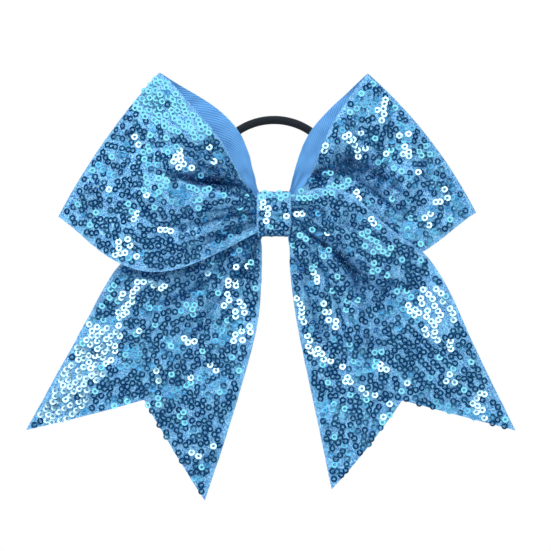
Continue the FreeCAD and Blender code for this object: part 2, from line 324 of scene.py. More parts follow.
def linear(colour: str) -> tuple[float, float, float, float]:
    """An sRGB hex colour such as "#66a8e8" as linear red, green, blue and alpha."""
    values = [int(colour[i : i + 2], 16) / 255.0 for i in (1, 3, 5)]
    return (*[v / 12.92 if v <= 0.04045 else ((v + 0.055) / 1.055) ** 2.4 for v in values], 1.0)


def add_node(tree: Tree, kind: str, inputs: dict | None = None, **settings: object) -> Node:
    """Adds a node with its settings. An input given as a socket is linked, and anything else is its value.

    Args:
        tree: The tree that it joins.
        kind: Its type.
        inputs: Sockets and plain values, by the names or numbers of the node's inputs.
        **settings: The node's own settings, by name.

    Returns:
        The node.
    """
    node = tree.nodes.new(kind)
    for name, value in settings.items():
        setattr(node, name, value)
    for name, value in (inputs or {}).items():
        if isinstance(value, Socket):
            tree.links.new(value, node.inputs[name])
        else:
            node.inputs[name].default_value = value
    return node


@dataclass(frozen=True)
class Painter:
    """Adds the kinds of texture node that the finishes share. A value is a socket or a plain number."""

    tree: Tree

    def read(self, attribute: str, output: str) -> Socket:
        """What the mesh itself says at each place."""
        return add_node(self.tree, "ShaderNodeAttribute", attribute_name=attribute).outputs[output]

    def cloth(self) -> Socket:
        """Millimetres along and across the cloth."""
        return self.read(CLOTH_ATTRIBUTE, "Vector")

    def shade(self) -> Socket:
        """The piece's own shade, from 0 to 1."""
        return self.read(SHADE_ATTRIBUTE, "Fac")

    def place(self) -> Socket:
        """Metres in the piece's own frame."""
        return add_node(self.tree, "ShaderNodeTexCoord").outputs["Object"]

    def noise(self, place: Socket, scale: float, detail: float = 2.0, roughness: float = 0.5) -> Socket:
        """Cloudy noise, from 0 to 1."""
        inputs = {"Vector": place, "Scale": scale, "Detail": detail, "Roughness": roughness}
        return add_node(self.tree, "ShaderNodeTexNoise", inputs).outputs["Fac"]

    def bands(
        self, place: Socket, degrees: float, pitch: float, axis: str, distortion: float, detail: float
    ) -> Socket:
        """Sine bands a pitch apart along an axis, turned by some degrees.

        Args:
            place: The place, in millimetres.
            degrees: How far the bands are turned.
            pitch: Millimetres from one to the next.
            axis: The axis along which they follow each other, X or Y.
            distortion: How far they wander.
            detail: How fine the wandering is.

        Returns:
            Their height, from 0 to 1.
        """
        turn = {"Vector": place, "Rotation": (0.0, 0.0, math.radians(degrees))}
        turned = add_node(self.tree, "ShaderNodeMapping", turn).outputs["Vector"]
        scale = math.tau / 20.0 / pitch
        wave = {"Vector": turned, "Scale": scale, "Distortion": distortion, "Detail": detail}
        return add_node(self.tree, "ShaderNodeTexWave", wave, bands_direction=axis).outputs["Fac"]

    def maths(self, operation: str, *values: Value) -> Socket:
        """An operation on up to three values."""
        return add_node(self.tree, "ShaderNodeMath", dict(enumerate(values)), operation=operation).outputs[0]

    def mix(self, factor: Value, low: Socket | str, high: Socket | str) -> Socket:
        """Two colours, each a socket or sRGB hex, mixed by a factor.

        Args:
            factor: The second colour's share.
            low: The colour at 0.
            high: The colour at 1.

        Returns:
            The mixed colour.
        """
        a, b = (linear(colour) if isinstance(colour, str) else colour for colour in (low, high))
        inputs = {MIX_FACTOR: factor, MIX_A: a, MIX_B: b}
        return add_node(self.tree, "ShaderNodeMix", inputs, data_type="RGBA").outputs[MIX_RESULT]

    def between(self, value: Value, low: float, high: float, start: float = 0.0, end: float = 1.0) -> Socket:
        """A value's range, low to high, carried over to start and end and clamped there."""
        inputs = {"Value": value, 1: low, 2: high, 3: start, 4: end}
        return add_node(self.tree, "ShaderNodeMapRange", inputs).outputs["Result"]

    def bump(self, height: Value, depth_mm: float) -> Socket:
        """A normal that height, from 0 to 1, raises by depth_mm."""
        inputs = {"Height": height, "Strength": 1.0, "Distance": depth_mm * METRES_PER_MM}
        return add_node(self.tree, "ShaderNodeBump", inputs).outputs["Normal"]


@dataclass(frozen=True)
class Finish:
    """A material made of one surface shader: its name, and the plain values of the shader's own sockets."""

    name: str
    roughness: float = 0.6
    metallic: float = 0.0
    sheen: float = 0.0
    specular: float = 0.5

    def build(self) -> Material:
        """Makes the material, and links what paint gives to its shader.

        Returns:
            The material.
        """
        material = bpy.data.materials.new(self.name)
        material.use_nodes = True
        tree = material.node_tree
        tree.nodes.clear()
        plain = {"Metallic": self.metallic, "Roughness": self.roughness, "Specular IOR Level": self.specular}
        if self.sheen > 0.0:
            plain |= {"Sheen Weight": self.sheen, "Sheen Roughness": SHEEN_ROUGHNESS}
        shader = add_node(tree, "ShaderNodeBsdfPrincipled", plain | self.paint(Painter(tree)))
        add_node(tree, "ShaderNodeOutputMaterial", {"Surface": shader.outputs["BSDF"]})
        return material

    def paint(self, painter: Painter) -> dict[str, Value]:
        """The shader's inputs that vary over the piece, by their names; a finish overrides this."""
        raise NotImplementedError


@dataclass(frozen=True)
class Grosgrain(Finish):
    """Polyester grosgrain: corded ribs that catch the light on one side, with a silky sheen."""

    light: str = "#74b0e2"
    dark: str = "#4482be"
    rib_pitch: float = 1.0
    rib_angle: float = 0.0

    def paint(self, painter: Painter) -> dict[str, Value]:
        """Sine ribs along the given angle, a fine yarn grain, and slow changes of shade.

        Args:
            painter: Adds the nodes.

        Returns:
            The shader's inputs that vary, by name.
        """
        cloth = painter.cloth()
        ribs = painter.bands(cloth, self.rib_angle, self.rib_pitch, "Y", 0.25, 1.0)
        shade = painter.maths("MULTIPLY", ribs, 0.42)
        for uneven in (painter.noise(cloth, 2.2, 3.0), painter.noise(cloth, 0.06, 1.0)):
            shade = painter.maths("MULTIPLY_ADD", uneven, 0.3, shade)
        colour = painter.mix(painter.between(shade, 0.15, 0.85), self.dark, self.light)
        return {"Base Color": colour, "Normal": painter.bump(ribs, 0.07)}


@dataclass(frozen=True)
class MeshFabric(Finish):
    """Knitted polyester net over satin, the ground that the sequins are sewn on: a fine net with glittering
    flecks, with painted shade in its creases and a painted glint on the flecks.
    """

    net: str = "#8ac8ea"
    ground: str = "#3f85c4"
    shadow: str = "#1b4f9a"
    aqua: str = "#52a8cc"
    # crease: painted shade, the colour that the cloth darkens to deep inside its creases.
    crease: str = "#0a3070"
    hem: str = "#86bfec"
    # The glittering flecks' colour, painted pale: a painted glint over the real flecks.
    glitter_glint_colour: str = "#cdf2fa"
    net_pitch: float = 0.8
    hem_width: float = 1.5

    def cells(self, painter: Painter, cloth: Socket, scale: float, randomness: float, feature: str) -> Node:
        """Voronoi cells on the cloth."""
        inputs = {"Vector": cloth, "Scale": scale, "Randomness": randomness}
        return add_node(painter.tree, "ShaderNodeTexVoronoi", inputs, feature=feature)

    def paint(self, painter: Painter) -> dict[str, Value]:
        """Voronoi cell borders for the net, noise for its unevenness, and one cell in many that glitters: a
        real fleck, made glossier and painted pale as a painted glint.

        The cloth is paler along its hems, where it is doubled, and darker inside its creases: painted shade,
        mixed in by how deep each crease is.

        Args:
            painter: Adds the nodes.

        Returns:
            The shader's inputs that vary, by name.
        """
        cloth, tree = painter.cloth(), painter.tree
        edge = self.cells(painter, cloth, 1.0 / self.net_pitch, 0.75, "DISTANCE_TO_EDGE").outputs["Distance"]
        thread = painter.between(edge, 0.03, 0.19, 1.0, 0.0)
        hue = painter.mix(painter.between(painter.noise(cloth, 0.07), 0.5, 0.68), self.ground, self.aqua)
        patch = painter.between(painter.noise(cloth, 0.35, 6.0, 0.85), 0.41, 0.59)
        colour = painter.mix(thread, painter.mix(patch, self.shadow, hue), self.net)
        across = add_node(tree, "ShaderNodeSeparateXYZ", {"Vector": cloth}).outputs["Y"]
        middle = RIBBON_WIDTH / 2.0
        aside = painter.maths("ABSOLUTE", painter.maths("SUBTRACT", across, middle))
        inner = middle - self.hem_width
        colour = painter.mix(painter.between(aside, inner, inner + 0.3, 0.0, 0.22), colour, self.hem)
        # Painted shade: the deeper the cloth lies in a crease, the nearer it is to the crease colour.
        colour = painter.mix(painter.between(painter.shade(), 0.22, 0.85, 0.0, 0.9), colour, self.crease)
        # Painted glint: one cell in many, a real glittering fleck, is made glossier and painted pale.
        spot = self.cells(painter, cloth, 1.7, 1.0, "F1").outputs
        chance = add_node(tree, "ShaderNodeSeparateColor", {"Color": spot["Color"]}).outputs["Red"]
        near = painter.between(spot["Distance"], 0.22, 0.34, 1.0, 0.0)
        glitter_and_glint = painter.maths("MULTIPLY", near, painter.between(chance, 0.72, 0.84, 0.0, 0.9))
        return {
            "Base Color": painter.mix(glitter_and_glint, colour, self.glitter_glint_colour),
            "Normal": painter.bump(thread, 0.15),
            "Roughness": painter.between(glitter_and_glint, 0.0, 1.0, self.roughness, 0.25),
        }


@dataclass(frozen=True)
class SequinFilm(Finish):
    """Vacuum-metallised polyester film, punched into rings: a mirror tinted from navy to aqua, painted paler
    on rings that mirror a light as a painted highlight.
    """

    deep: str = "#4092c6"
    # aqua is the film's lighter tone and also a painted highlight on rings that mirror the panel; pale is a
    # painted highlight on rings that mirror the key.
    aqua: str = "#8ee6f2"
    pale: str = "#cdf5fb"

    def paint(self, painter: Painter) -> dict[str, Value]:
        """Each ring's colour runs from the deep film through the aqua one to the pale one: a random tone
        between deep and aqua, and a painted highlight, aqua or pale, on rings that mirror a light.

        Args:
            painter: Adds the nodes.

        Returns:
            The shader's inputs that vary, by name.
        """
        tint_and_glint = painter.shade()
        lower = painter.mix(painter.between(tint_and_glint, 0.0, 0.5), self.deep, self.aqua)
        return {"Base Color": painter.mix(painter.between(tint_and_glint, 0.5, 1.0), lower, self.pale)}


@dataclass(frozen=True)
class Thread(Finish):
    """Clear-blue nylon sewing thread, smooth and slightly glossy."""

    colour: str = "#5fa8dc"
    faded: str = "#9ad4f2"

    def paint(self, painter: Painter) -> dict[str, Value]:
        """A faint unevenness of dye along the thread."""
        return {"Base Color": painter.mix(painter.noise(painter.place(), 900.0), self.colour, self.faded)}


@dataclass(frozen=True)
class Braid(Finish):
    """Black braided polyester over rubber: matt yarns that cross in a diamond pattern."""

    yarn: str = "#24272c"
    gap: str = "#0d0e11"
    pitch: float = 0.7
    slope: float = 38.0

    def paint(self, painter: Painter) -> dict[str, Value]:
        """Two sets of sine bands that wind round the cord in opposite directions.

        Args:
            painter: Adds the nodes.

        Returns:
            The shader's inputs that vary, by name.
        """
        cloth = painter.cloth()
        wound = [painter.bands(cloth, turn, self.pitch, "X", 0.0, 2.0) for turn in (self.slope, -self.slope)]
        over = painter.maths("MAXIMUM", *wound)
        colour = painter.mix(painter.between(over, 0.35, 0.95), self.gap, self.yarn)
        return {"Base Color": colour, "Normal": painter.bump(over, 0.12)}


@dataclass(frozen=True)
class Moulded(Finish):
    """A plain moulded or set polymer with a faint mottle, such as nylon, hot glue or latex."""

    colour: str = "#e8e8e0"
    mottle: str = "#d8d8cc"
    grain: float = 400.0

    def paint(self, painter: Painter) -> dict[str, Value]:
        """Noise between two near shades, which also dimples the surface.

        Args:
            painter: Adds the nodes.

        Returns:
            The shader's inputs that vary, by name.
        """
        noise = painter.noise(painter.place(), self.grain, 3.0)
        colour = painter.mix(noise, self.colour, self.mottle)
        return {"Base Color": colour, "Normal": painter.bump(noise, 0.05)}


@dataclass(frozen=True)
class Materials:
    """The bow's materials, each made once."""

    left_ribbon: Material
    right_ribbon: Material
    fabric: Material
    film: Material
    thread: Material
    braid: Material
    nylon: Material
    glue: Material
    latex: Material

    @classmethod
    def make(cls) -> "Materials":
        """Builds them all.

        Returns:
            The materials.
        """
        silky = {"roughness": 0.6, "sheen": 0.08, "specular": 0.25}
        return cls(
            left_ribbon=Grosgrain("woven_grosgrain_left", rib_angle=-25.0, **silky).build(),
            right_ribbon=Grosgrain("woven_grosgrain_right", rib_angle=29.0, **silky).build(),
            fabric=MeshFabric("knitted_net_with_glitter", roughness=0.7, specular=0.15).build(),
            film=SequinFilm("metallised_film_rings", roughness=0.2, metallic=1.0).build(),
            thread=Thread("nylon_sewing_thread", roughness=0.4).build(),
            braid=Braid("braided_black_polyester", roughness=0.75, sheen=0.15).build(),
            nylon=Moulded("moulded_natural_nylon", roughness=0.4).build(),
            glue=Moulded("set_hot_glue", 0.3, colour="#7f9fc4", mottle="#6c8fb8", grain=250.0).build(),
            latex=Moulded("extruded_black_latex", 0.7, colour="#17181a", mottle="#22242a").build(),
        )


# ---------------------------------------------------------------- ribbon


@dataclass(frozen=True)
class Pleat:
    """A fold pressed into the ribbon at the knot, which fades out along it.

    place is its share across the ribbon, depth how far the valley goes in, in millimetres, reach how far from
    the knot it has faded to a third, and width its half width as a share of the ribbon's. A negative depth
    makes a ridge.
    """

    place: float
    depth: float
    reach: float
    width: float = 0.06


def pleat_height(pleats: Sequence[Pleat], distance: Array, across: Array) -> Array:
    """How far the pleats lift the ribbon outwards, in millimetres.

    Each valley has a sharp floor and round shoulders: depth times e to the minus distance from its line, in
    widths. It starts shallow at the knot's edge, is deepest a few millimetres out, and fades as a bell curve.

    Args:
        pleats: The pleats.
        distance: Millimetres from the knot.
        across: Share across the ribbon.

    Returns:
        The height, in the shape of the arguments.
    """
    sharp, start, deepest_at, doubled_at = 0.25, 0.3, 11.0, 60.0
    rise = start + (1.0 - start) * smooth_step(distance / deepest_at)
    height = np.zeros(np.broadcast(distance, across).shape)
    for pleat in pleats:
        x = (across - pleat.place) / (pleat.width * (1.0 + distance / doubled_at))
        valley = np.exp(sharp - np.sqrt(x * x + sharp * sharp))
        height -= pleat.depth * rise * np.exp(-((distance / pleat.reach) ** 2)) * valley
    return height


@dataclass(frozen=True)
class Crease:
    """A valley folded into the ribbon, along a line as it is seen from the front.

    Each point of the line is X, Z, the valley's depth and its half width above the line, in millimetres.
    Below the line it is lower times as wide, so that one wall can be steeper than the other.
    """

    line: tuple[tuple[float, float, float, float], ...]
    lower: float = 0.5

    def depth(self, x: Array, z: Array) -> Array:
        """How far the valley sets the cloth back.

        It is the depth at the nearest point of the line, times e to the minus distance from there in half
        widths, with the floor's corner rounded over a quarter of a half width.

        Args:
            x: Millimetres to the right.
            z: Millimetres up.

        Returns:
            Millimetres, in the shape of the arguments.
        """
        round_off, steps, narrowest = 0.25, 14, 0.5
        line = natural_spline(self.line)(np.linspace(0.0, 1.0, steps * len(self.line)))
        rightward = math.copysign(1.0, self.line[-1][0] - self.line[0][0])
        forward = unit(np.gradient(line[:, :2], axis=0)) * rightward
        right, up = x[..., None] - line[:, 0], z[..., None] - line[:, 1]
        nearest = np.argmin(right * right + up * up, axis=-1)
        right = x - line[nearest, 0]
        up = z - line[nearest, 1]
        above = forward[nearest, 0] * up - forward[nearest, 1] * right > 0.0
        width = np.maximum(line[nearest, 3], narrowest) * np.where(above, 1.0, self.lower)
        away = np.hypot(right, up) / width
        fall = np.exp(round_off - np.sqrt(away * away + round_off * round_off))
        return np.maximum(line[nearest, 2], 0.0) * fall


@dataclass(frozen=True)
class Waves:
    """Random waves in the cloth: the limits of their length, their height, and how far out they are grown."""

    shortest: float
    longest: float
    height: float
    grown_at: float = 0.0

    def at(self, along: Array, across: Array, distance: Array, seed: int) -> Array:
        """Their height at a distance from the knot. With no grown_at they are as high everywhere."""
        field = ripple(along, across, seed, self.shortest, self.longest) * self.height
        return field * smooth_step(distance / self.grown_at) if self.grown_at > 0.0 else field


FINE_WAVES = Waves(5.0, 11.0, 0.1)


@dataclass
class Ribbon:
    """A stretch of the bow's two-layer ribbon, as a surface over shares along and across it.

    A subclass gives base, the surface without its pleats and creases, and facing, which way the sequins face.
    """

    side: Side
    pleats: tuple[Pleat, ...]
    creases: tuple[Crease, ...]
    seed: int
    length: float = field(init=False, default=0.0)

    def fit(self, first: Sequence[Point], second: Sequence[Point]) -> None:
        """Fits the two edge splines and spaces the shares evenly by length along the middle.

        Args:
            first: One edge's points.
            second: The other edge's points.
        """
        self.first, self.second = natural_spline(first), natural_spline(second)
        self.plain = np.linspace(0.0, 1.0, 401)
        middle = (self.first(self.plain) + self.second(self.plain)) / 2.0
        run = running(np.linalg.norm(np.diff(middle, axis=0), axis=1))
        self.length = float(run[-1])
        self.run = run / run[-1]

    def base(self, u: Array, t: Array) -> Array:
        """The surface before pleats and ripples, at shares along and across."""
        raise NotImplementedError

    def lift(self, u: Array, t: Array) -> Array:
        """The displacement along Y by pleats and ripples, in millimetres."""
        raise NotImplementedError

    def front(self, u: Array) -> Array:
        """The share, from 0 to 1, by which a place along the ribbon is in the bow's front."""
        return np.ones_like(u)

    def fold(self) -> float:
        """Where along the ribbon it is folded over: before its start, if it isn't."""
        return -1.0

    def margin(self, u: Array) -> Array:
        """How wide a hem is left free of sequins, in millimetres."""
        return np.full_like(u, HEM_WIDTH)

    def creased(self, u: Array, points: Array) -> Array:
        """How far all creases together set points of the base surface back."""
        x, z = points[..., 0], points[..., 2]
        return sum((crease.depth(x, z) for crease in self.creases), np.zeros_like(u)) * self.front(u)

    def shade(self, u: Array, t: Array) -> Array:
        """How deep in a crease a place is, 1 where it is as deep as FULL_SHADE or more; the fabric's painted
        shade follows it.
        """
        return np.clip(self.creased(u, self.base(u, t)) / FULL_SHADE, 0.0, 1.0)

    def facing(self) -> float:
        """1 if the outside is where the surface's own normal points, along cross across, else -1."""
        raise NotImplementedError

    def at(self, u: Array, t: Array) -> Array:
        """The finished middle surface.

        Args:
            u: Shares along the ribbon.
            t: Shares across it.

        Returns:
            The points.
        """
        points = self.base(u, t)
        points[..., 1] += self.lift(u, t) + self.creased(u, points)
        return points

    def normal(self, u: Array, t: Array) -> Array:
        """Unit normals towards the outside: the cross product of small steps along and across.

        Args:
            u: Shares along the ribbon.
            t: Shares across it.

        Returns:
            The normals.
        """
        step = 2e-3
        along = self.at(np.minimum(u + step, 1.0), t) - self.at(np.maximum(u - step, 0.0), t)
        across = self.at(u, np.minimum(t + step, 1.0)) - self.at(u, np.maximum(t - step, 0.0))
        return unit(np.cross(along, across)) * self.facing()

    def layer(self, name: str, material: Material, low: float, high: float, grid: tuple[int, int]) -> Piece:
        """One layer of the ribbon: the closed sheet between two offsets from its middle surface.

        Args:
            name: The piece's name.
            material: Its material.
            low: The inner face's offset, in millimetres towards the outside.
            high: The outer face's offset.
            grid: The numbers of points along and across.

        Returns:
            The piece.
        """
        u, t = np.meshgrid(*(np.linspace(0.0, 1.0, count) for count in grid), indexing="ij")
        middle, normals = self.at(u, t), self.normal(u, t)
        points, quads = thick_sheet(middle + normals * low, middle + normals * high)
        cloth = np.stack([u * self.length, t * RIBBON_WIDTH], -1).reshape(-1, 2)
        shade = np.tile(self.shade(u, t).ravel(), 2)
        return make_piece(name, points, quads, material, cloth=np.concatenate([cloth, cloth]), shade=shade)


@dataclass
class Loop(Ribbon):
    """A loop: out along the back from the knot, round the fold and back to the knot in front.

    top and bottom are its two edges through eleven points, the sixth at the fold. fold_bow is how far the
    fold's middle stands out from the line between its ends, and belly how far the front's middle stands
    forward. gathered is how much more tightly the front's upper half is drawn in at the knot than its lower
    half, which fades over gather_reach. turn_rate is how abruptly the back becomes the front at the fold.
    """

    top: tuple[Point, ...] = ()
    bottom: tuple[Point, ...] = ()
    fold_bow: float = 2.2
    belly: float = 3.0
    gathered: float = 0.6
    gather_reach: float = 26.0
    turn_rate: float = 8.0
    back_pleats: tuple[Pleat, ...] = ()
    soft: Waves = Waves(14.0, 34.0, 0.8, 25.0)

    def __post_init__(self) -> None:
        """Fits the edges and finds the fold."""
        self.fit(self.top, self.bottom)
        fold = self.second(np.array(0.5)) - self.first(np.array(0.5))
        self.away = unit(np.cross(fold, [0.0, float(self.side.value), 0.0]))
        self.fold_share = float(np.interp(0.5, self.plain, self.run))

    def base(self, u: Array, t: Array) -> Array:
        """Straight across between the edges, with the fold bowed out, and the front's belly.

        The bow is a parabola across times the fourth power of a sine along, and the belly is the same
        parabola times a sine along the front half.

        Args:
            u: Shares along the ribbon.
            t: Shares across it.

        Returns:
            The points.
        """
        share = np.interp(u, self.run, self.plain)
        in_front = smooth_step((u - self.fold_share) * self.turn_rate / 2.0)
        near = np.exp(-((self.distance(u) / self.gather_reach) ** 2)) * in_front
        bend = t + self.gathered * near * (t * t - t)
        across = (4.0 * t * (1.0 - t))[..., None]
        front = np.maximum(0.0, np.sin(math.pi * (2.0 * share - 1.0)))[..., None]
        points = self.first(share) * (1.0 - bend[..., None]) + self.second(share) * bend[..., None]
        points = points + self.away * (self.fold_bow * across * np.sin(math.pi * share[..., None]) ** 4)
        points[..., 1:2] -= self.belly * across * front
        return points

    def distance(self, u: Array) -> Array:
        """Millimetres from the knot, along the ribbon, from whichever end is nearer."""
        return np.minimum(u, 1.0 - u) * self.length

    def lift(self, u: Array, t: Array) -> Array:
        """Pleats and ripples: the front's outside is towards -Y and the back's towards +Y.

        Args:
            u: Shares along the ribbon.
            t: Shares across it.

        Returns:
            The displacement along Y, in millimetres.
        """
        front = self.front(u)
        distance = self.distance(u)
        along, across = u * self.length, t * RIBBON_WIDTH
        soft = self.soft.at(along, across, distance, self.seed)
        fine = FINE_WAVES.at(along, across, distance, self.seed + 1)
        forward = pleat_height(self.pleats, distance, t) + soft + fine
        backward = pleat_height(self.back_pleats, distance, t) + 0.5 * soft + fine
        return -forward * front + backward * (1.0 - front)

    def front(self, u: Array) -> Array:
        """0 along the back panel and 1 along the front one, with a smooth change round the fold."""
        return smooth_step((u - self.fold_share) * self.turn_rate + 0.5)

    def fold(self) -> float:
        """The fold's share of the loop."""
        return self.fold_share

    def margin(self, u: Array) -> Array:
        """The back panel's hem is wider, so that the front's view of the grosgrain is clear of rings."""
        return np.where(u < self.fold_share - 0.02, BACK_HEM_WIDTH, HEM_WIDTH)

    def facing(self) -> float:
        """The back's outside is +Y, which is along cross across on the right and against it on the left."""
        return float(self.side.value)


@dataclass
class Tail(Ribbon):
    """A tail: from the knot out to the V cut between its two tips.

    outer and inner are its two edges through evenly spaced points. notch is how far the V is cut back from
    the line between the tips, as a share of the tail's length. wave, wave_heading and wave_length shape the
    slow waves, which start wave_start millimetres from the knot and grow over wave_growth.
    """

    outer: tuple[Point, ...] = ()
    inner: tuple[Point, ...] = ()
    notch: float = 0.25
    notch_place: float = 0.5
    gathered: float = 0.0
    gather_reach: float = 30.0
    wave: float = 1.2
    wave_heading: tuple[float, float] = (0.8, 0.5)
    wave_length: float = 11.0
    wave_start: float = 30.0
    wave_growth: float = 40.0
    soft: Waves = Waves(16.0, 40.0, 0.75, 30.0)

    def __post_init__(self) -> None:
        """Fits the edges."""
        self.fit(self.outer, self.inner)

    def reach(self, u: Array, t: Array) -> Array:
        """The share of the uncut ribbon that u reaches: all at the edges, and less by the notch between.

        Args:
            u: Shares along the ribbon.
            t: Shares across it.

        Returns:
            Shares of the uncut ribbon.
        """
        left = np.clip(t / self.notch_place, 0.0, 1.0)
        right = np.clip((1.0 - t) / (1.0 - self.notch_place), 0.0, 1.0)
        return u * (1.0 - self.notch * np.minimum(left, right))

    def base(self, u: Array, t: Array) -> Array:
        """Straight across between the edges.

        Args:
            u: Shares along the ribbon.
            t: Shares across it.

        Returns:
            The points.
        """
        reached = self.reach(u, t)
        share = np.interp(reached, self.run, self.plain)
        near = np.exp(-((reached * self.length / self.gather_reach) ** 2))
        bend = (t + self.gathered * near * (t * t - t))[..., None]
        return self.first(share) * (1.0 - bend) + self.second(share) * bend

    def lift(self, u: Array, t: Array) -> Array:
        """Pleats near the knot, and slow waves and ripples further out; the outside is towards -Y.

        Args:
            u: Shares along the ribbon.
            t: Shares across it.

        Returns:
            The displacement along Y, in millimetres.
        """
        along, across = self.reach(u, t) * self.length, t * RIBBON_WIDTH
        grown = smooth_step((along - self.wave_start) / self.wave_growth)
        turn = (along * self.wave_heading[0] + across * self.wave_heading[1]) / self.wave_length
        slow = np.sin(turn + self.seed) * self.wave * grown
        soft = self.soft.at(along, across, along, self.seed)
        fine = FINE_WAVES.at(along, across, along, self.seed + 1)
        return -(pleat_height(self.pleats, along, t) + slow + soft + fine)

    def facing(self) -> float:
        """The outside is -Y, which is along cross across on the left and against it on the right."""
        return -float(self.side.value)


# ---------------------------------------------------------------- sequins


@dataclass(frozen=True)
class Patch:
    """A group of sequins that lean the same way: all those near a stretch from (x, z) to (to_x, to_z)."""

    x: float
    z: float
    to_x: float
    to_z: float
    reach: float
    glow: Glow
    share: float = 0.92

    def holds(self, points: Array) -> Array:
        """Which points are within reach of the stretch, seen from the front.

        Args:
            points: Points, one to a row.

        Returns:
            True for each point within reach.
        """
        start = np.array([self.x, self.z])
        run = np.array([self.to_x, self.to_z]) - start
        aside = points[:, ::2] - start
        along = np.clip(aside @ run / max(run @ run, 1e-9), 0.0, 1.0)
        return np.linalg.norm(aside - along[:, None] * run, axis=1) < self.reach


@dataclass
class Sequins:
    """Ring sequins sewn on in wandering chains.

    Chains are row_pitch apart and wind to and fro, and single sequins fill the gaps between them, one tried
    to each one_in square millimetres. A sequin is left out where one that is already there is nearer than
    closest, or than fill_closest for a single one. drifts are the slow random fields of a chain's phase, of
    its height and of its place along the ribbon, each with what its seed is over the chains' own.

    tilt is how far each leans off the cloth at random, and loose_tilt how much more where it lies loosely.
    hot and soft are the directions of the two lights that sequins mirror, hot_share and soft_share the
    shares that do so anywhere, and most_turned the least cosine between such a sequin and the cloth.
    """

    materials: Materials
    patches: tuple[Patch, ...] = ()
    outer_radius: float = 1.3
    hole_radius: float = 0.6
    thickness: float = 0.1
    row_pitch: float = 4.9
    step: float = 1.86
    wander: float = 2.0
    wavelength: float = 7.6
    drifts: tuple[tuple[int, Waves], ...] = (
        (0, Waves(22.0, 50.0, 1.4)), (2, Waves(15.0, 40.0, 0.25)), (3, Waves(6.0, 14.0, 0.5)),
    )
    uneven: float = 0.12
    overrun: float = 2.0
    trace_step: float = 0.1
    end_gap: float = 0.5
    bare_lengths: tuple[float, float] = (7.0, 18.0)
    closest: float = 1.66
    fill_closest: float = 2.15
    bare_share: float = 0.07
    fold_gap: float = 2.4
    segments: int = 12
    clearance: tuple[float, float] = (0.07, 0.10)
    tilt_lift: float = 0.6
    one_in: float = 1.6
    tint_range: float = 0.26
    tilt: float = 0.085
    loose_tilt: float = 0.5
    mirror_tilt: float = 0.018
    hot: Point = KEY_DIRECTION
    soft: Point = PANEL_DIRECTION
    # Painted highlight: a ring that mirrors the key is coloured pale, and one that mirrors the panel aqua.
    hot_painted_highlight: float = 1.0
    soft_painted_highlight: float = 0.35
    soft_painted_highlight_range: float = 0.2
    hot_share: float = 0.016
    soft_share: float = 0.055
    most_turned: float = 0.64

    def rows(self, ribbon: Ribbon) -> tuple[Array, Array, Array]:
        """Places along chains that wind to and fro across the ribbon, then single places between them.

        Chain k lies along the ribbon at its pitch, swayed by a sine whose phase and height drift with slow
        random fields. The sequins are spaced step apart by the chain's own length, give or take uneven, and
        dropped where another slow field is low, at the hems and along the fold.

        Args:
            ribbon: The stretch that they are sewn on.

        Returns:
            Shares along, shares across, and how near an earlier sequin may be, in millimetres.
        """
        draw = np.random.default_rng(ribbon.seed + 50)
        count = int((RIBBON_WIDTH - 2.0 * HEM_WIDTH) / self.row_pitch) + 1
        centre = (RIBBON_WIDTH - (count - 1) * self.row_pitch) / 2.0
        fine = np.arange(-self.overrun, ribbon.length + self.overrun, self.trace_step)
        chosen_s, chosen_w = [], []
        for k in range(count):
            line = np.full_like(fine, centre + self.row_pitch * k)
            drift, swell, sway = (
                waves.at(fine, line, fine, ribbon.seed + 51 + i) for i, waves in self.drifts
            )
            turn = fine * math.tau / self.wavelength + (draw.uniform(0.0, math.tau) + drift)
            s = fine + np.sin(2.0 * turn) + sway
            w = line + self.wander * (1.0 + swell) * np.sin(turn)
            run = running(np.hypot(np.diff(s), np.diff(w)))
            at = np.arange(draw.uniform(0.0, self.step), run[-1], self.step)
            at = at + draw.uniform(-self.uneven, self.uneven, len(at))
            chosen_s.append(np.interp(at, run, s))
            chosen_w.append(np.interp(at, run, w))
        chained = sum(len(places) for places in chosen_s)
        single = int(ribbon.length * RIBBON_WIDTH / self.one_in)
        s = np.concatenate([*chosen_s, draw.uniform(0.0, ribbon.length, single)])
        w = np.concatenate([*chosen_w, draw.uniform(0.0, RIBBON_WIDTH, single)])
        apart = np.where(np.arange(len(s)) < chained, self.closest, self.fill_closest)
        bare = ripple(s, w, ribbon.seed + 52, *self.bare_lengths)
        kept = bare > np.quantile(bare, self.bare_share)
        kept &= (s > self.end_gap) & (s < ribbon.length - self.end_gap)
        kept &= np.abs(s - ribbon.fold() * ribbon.length) > self.fold_gap
        u = np.clip(s / ribbon.length, 0.0, 1.0)
        edges = ribbon.base(u, np.zeros_like(u)), ribbon.base(u, np.ones_like(u))
        local_width = np.linalg.norm(edges[0] - edges[1], axis=-1)
        margin = ribbon.margin(u) * np.maximum(RIBBON_WIDTH / local_width, 1.0)
        kept &= (w > margin) & (w < RIBBON_WIDTH - margin)
        return u[kept], w[kept] / RIBBON_WIDTH, apart[kept]

    def thinned(self, points: Array, apart: Array) -> Array:
        """Which points stay when each one kept drives out the later ones that are nearer than apart says.

        Args:
            points: Points, one to a row.
            apart: How near an earlier one may be, in millimetres.

        Returns:
            True for each point that stays.
        """
        kept = np.ones(len(points), bool)
        for i in range(len(points)):
            if kept[i]:
                kept[i + 1 :] &= np.linalg.norm(points[i + 1 :] - points[i], axis=1) > apart[i + 1 :]
        return kept

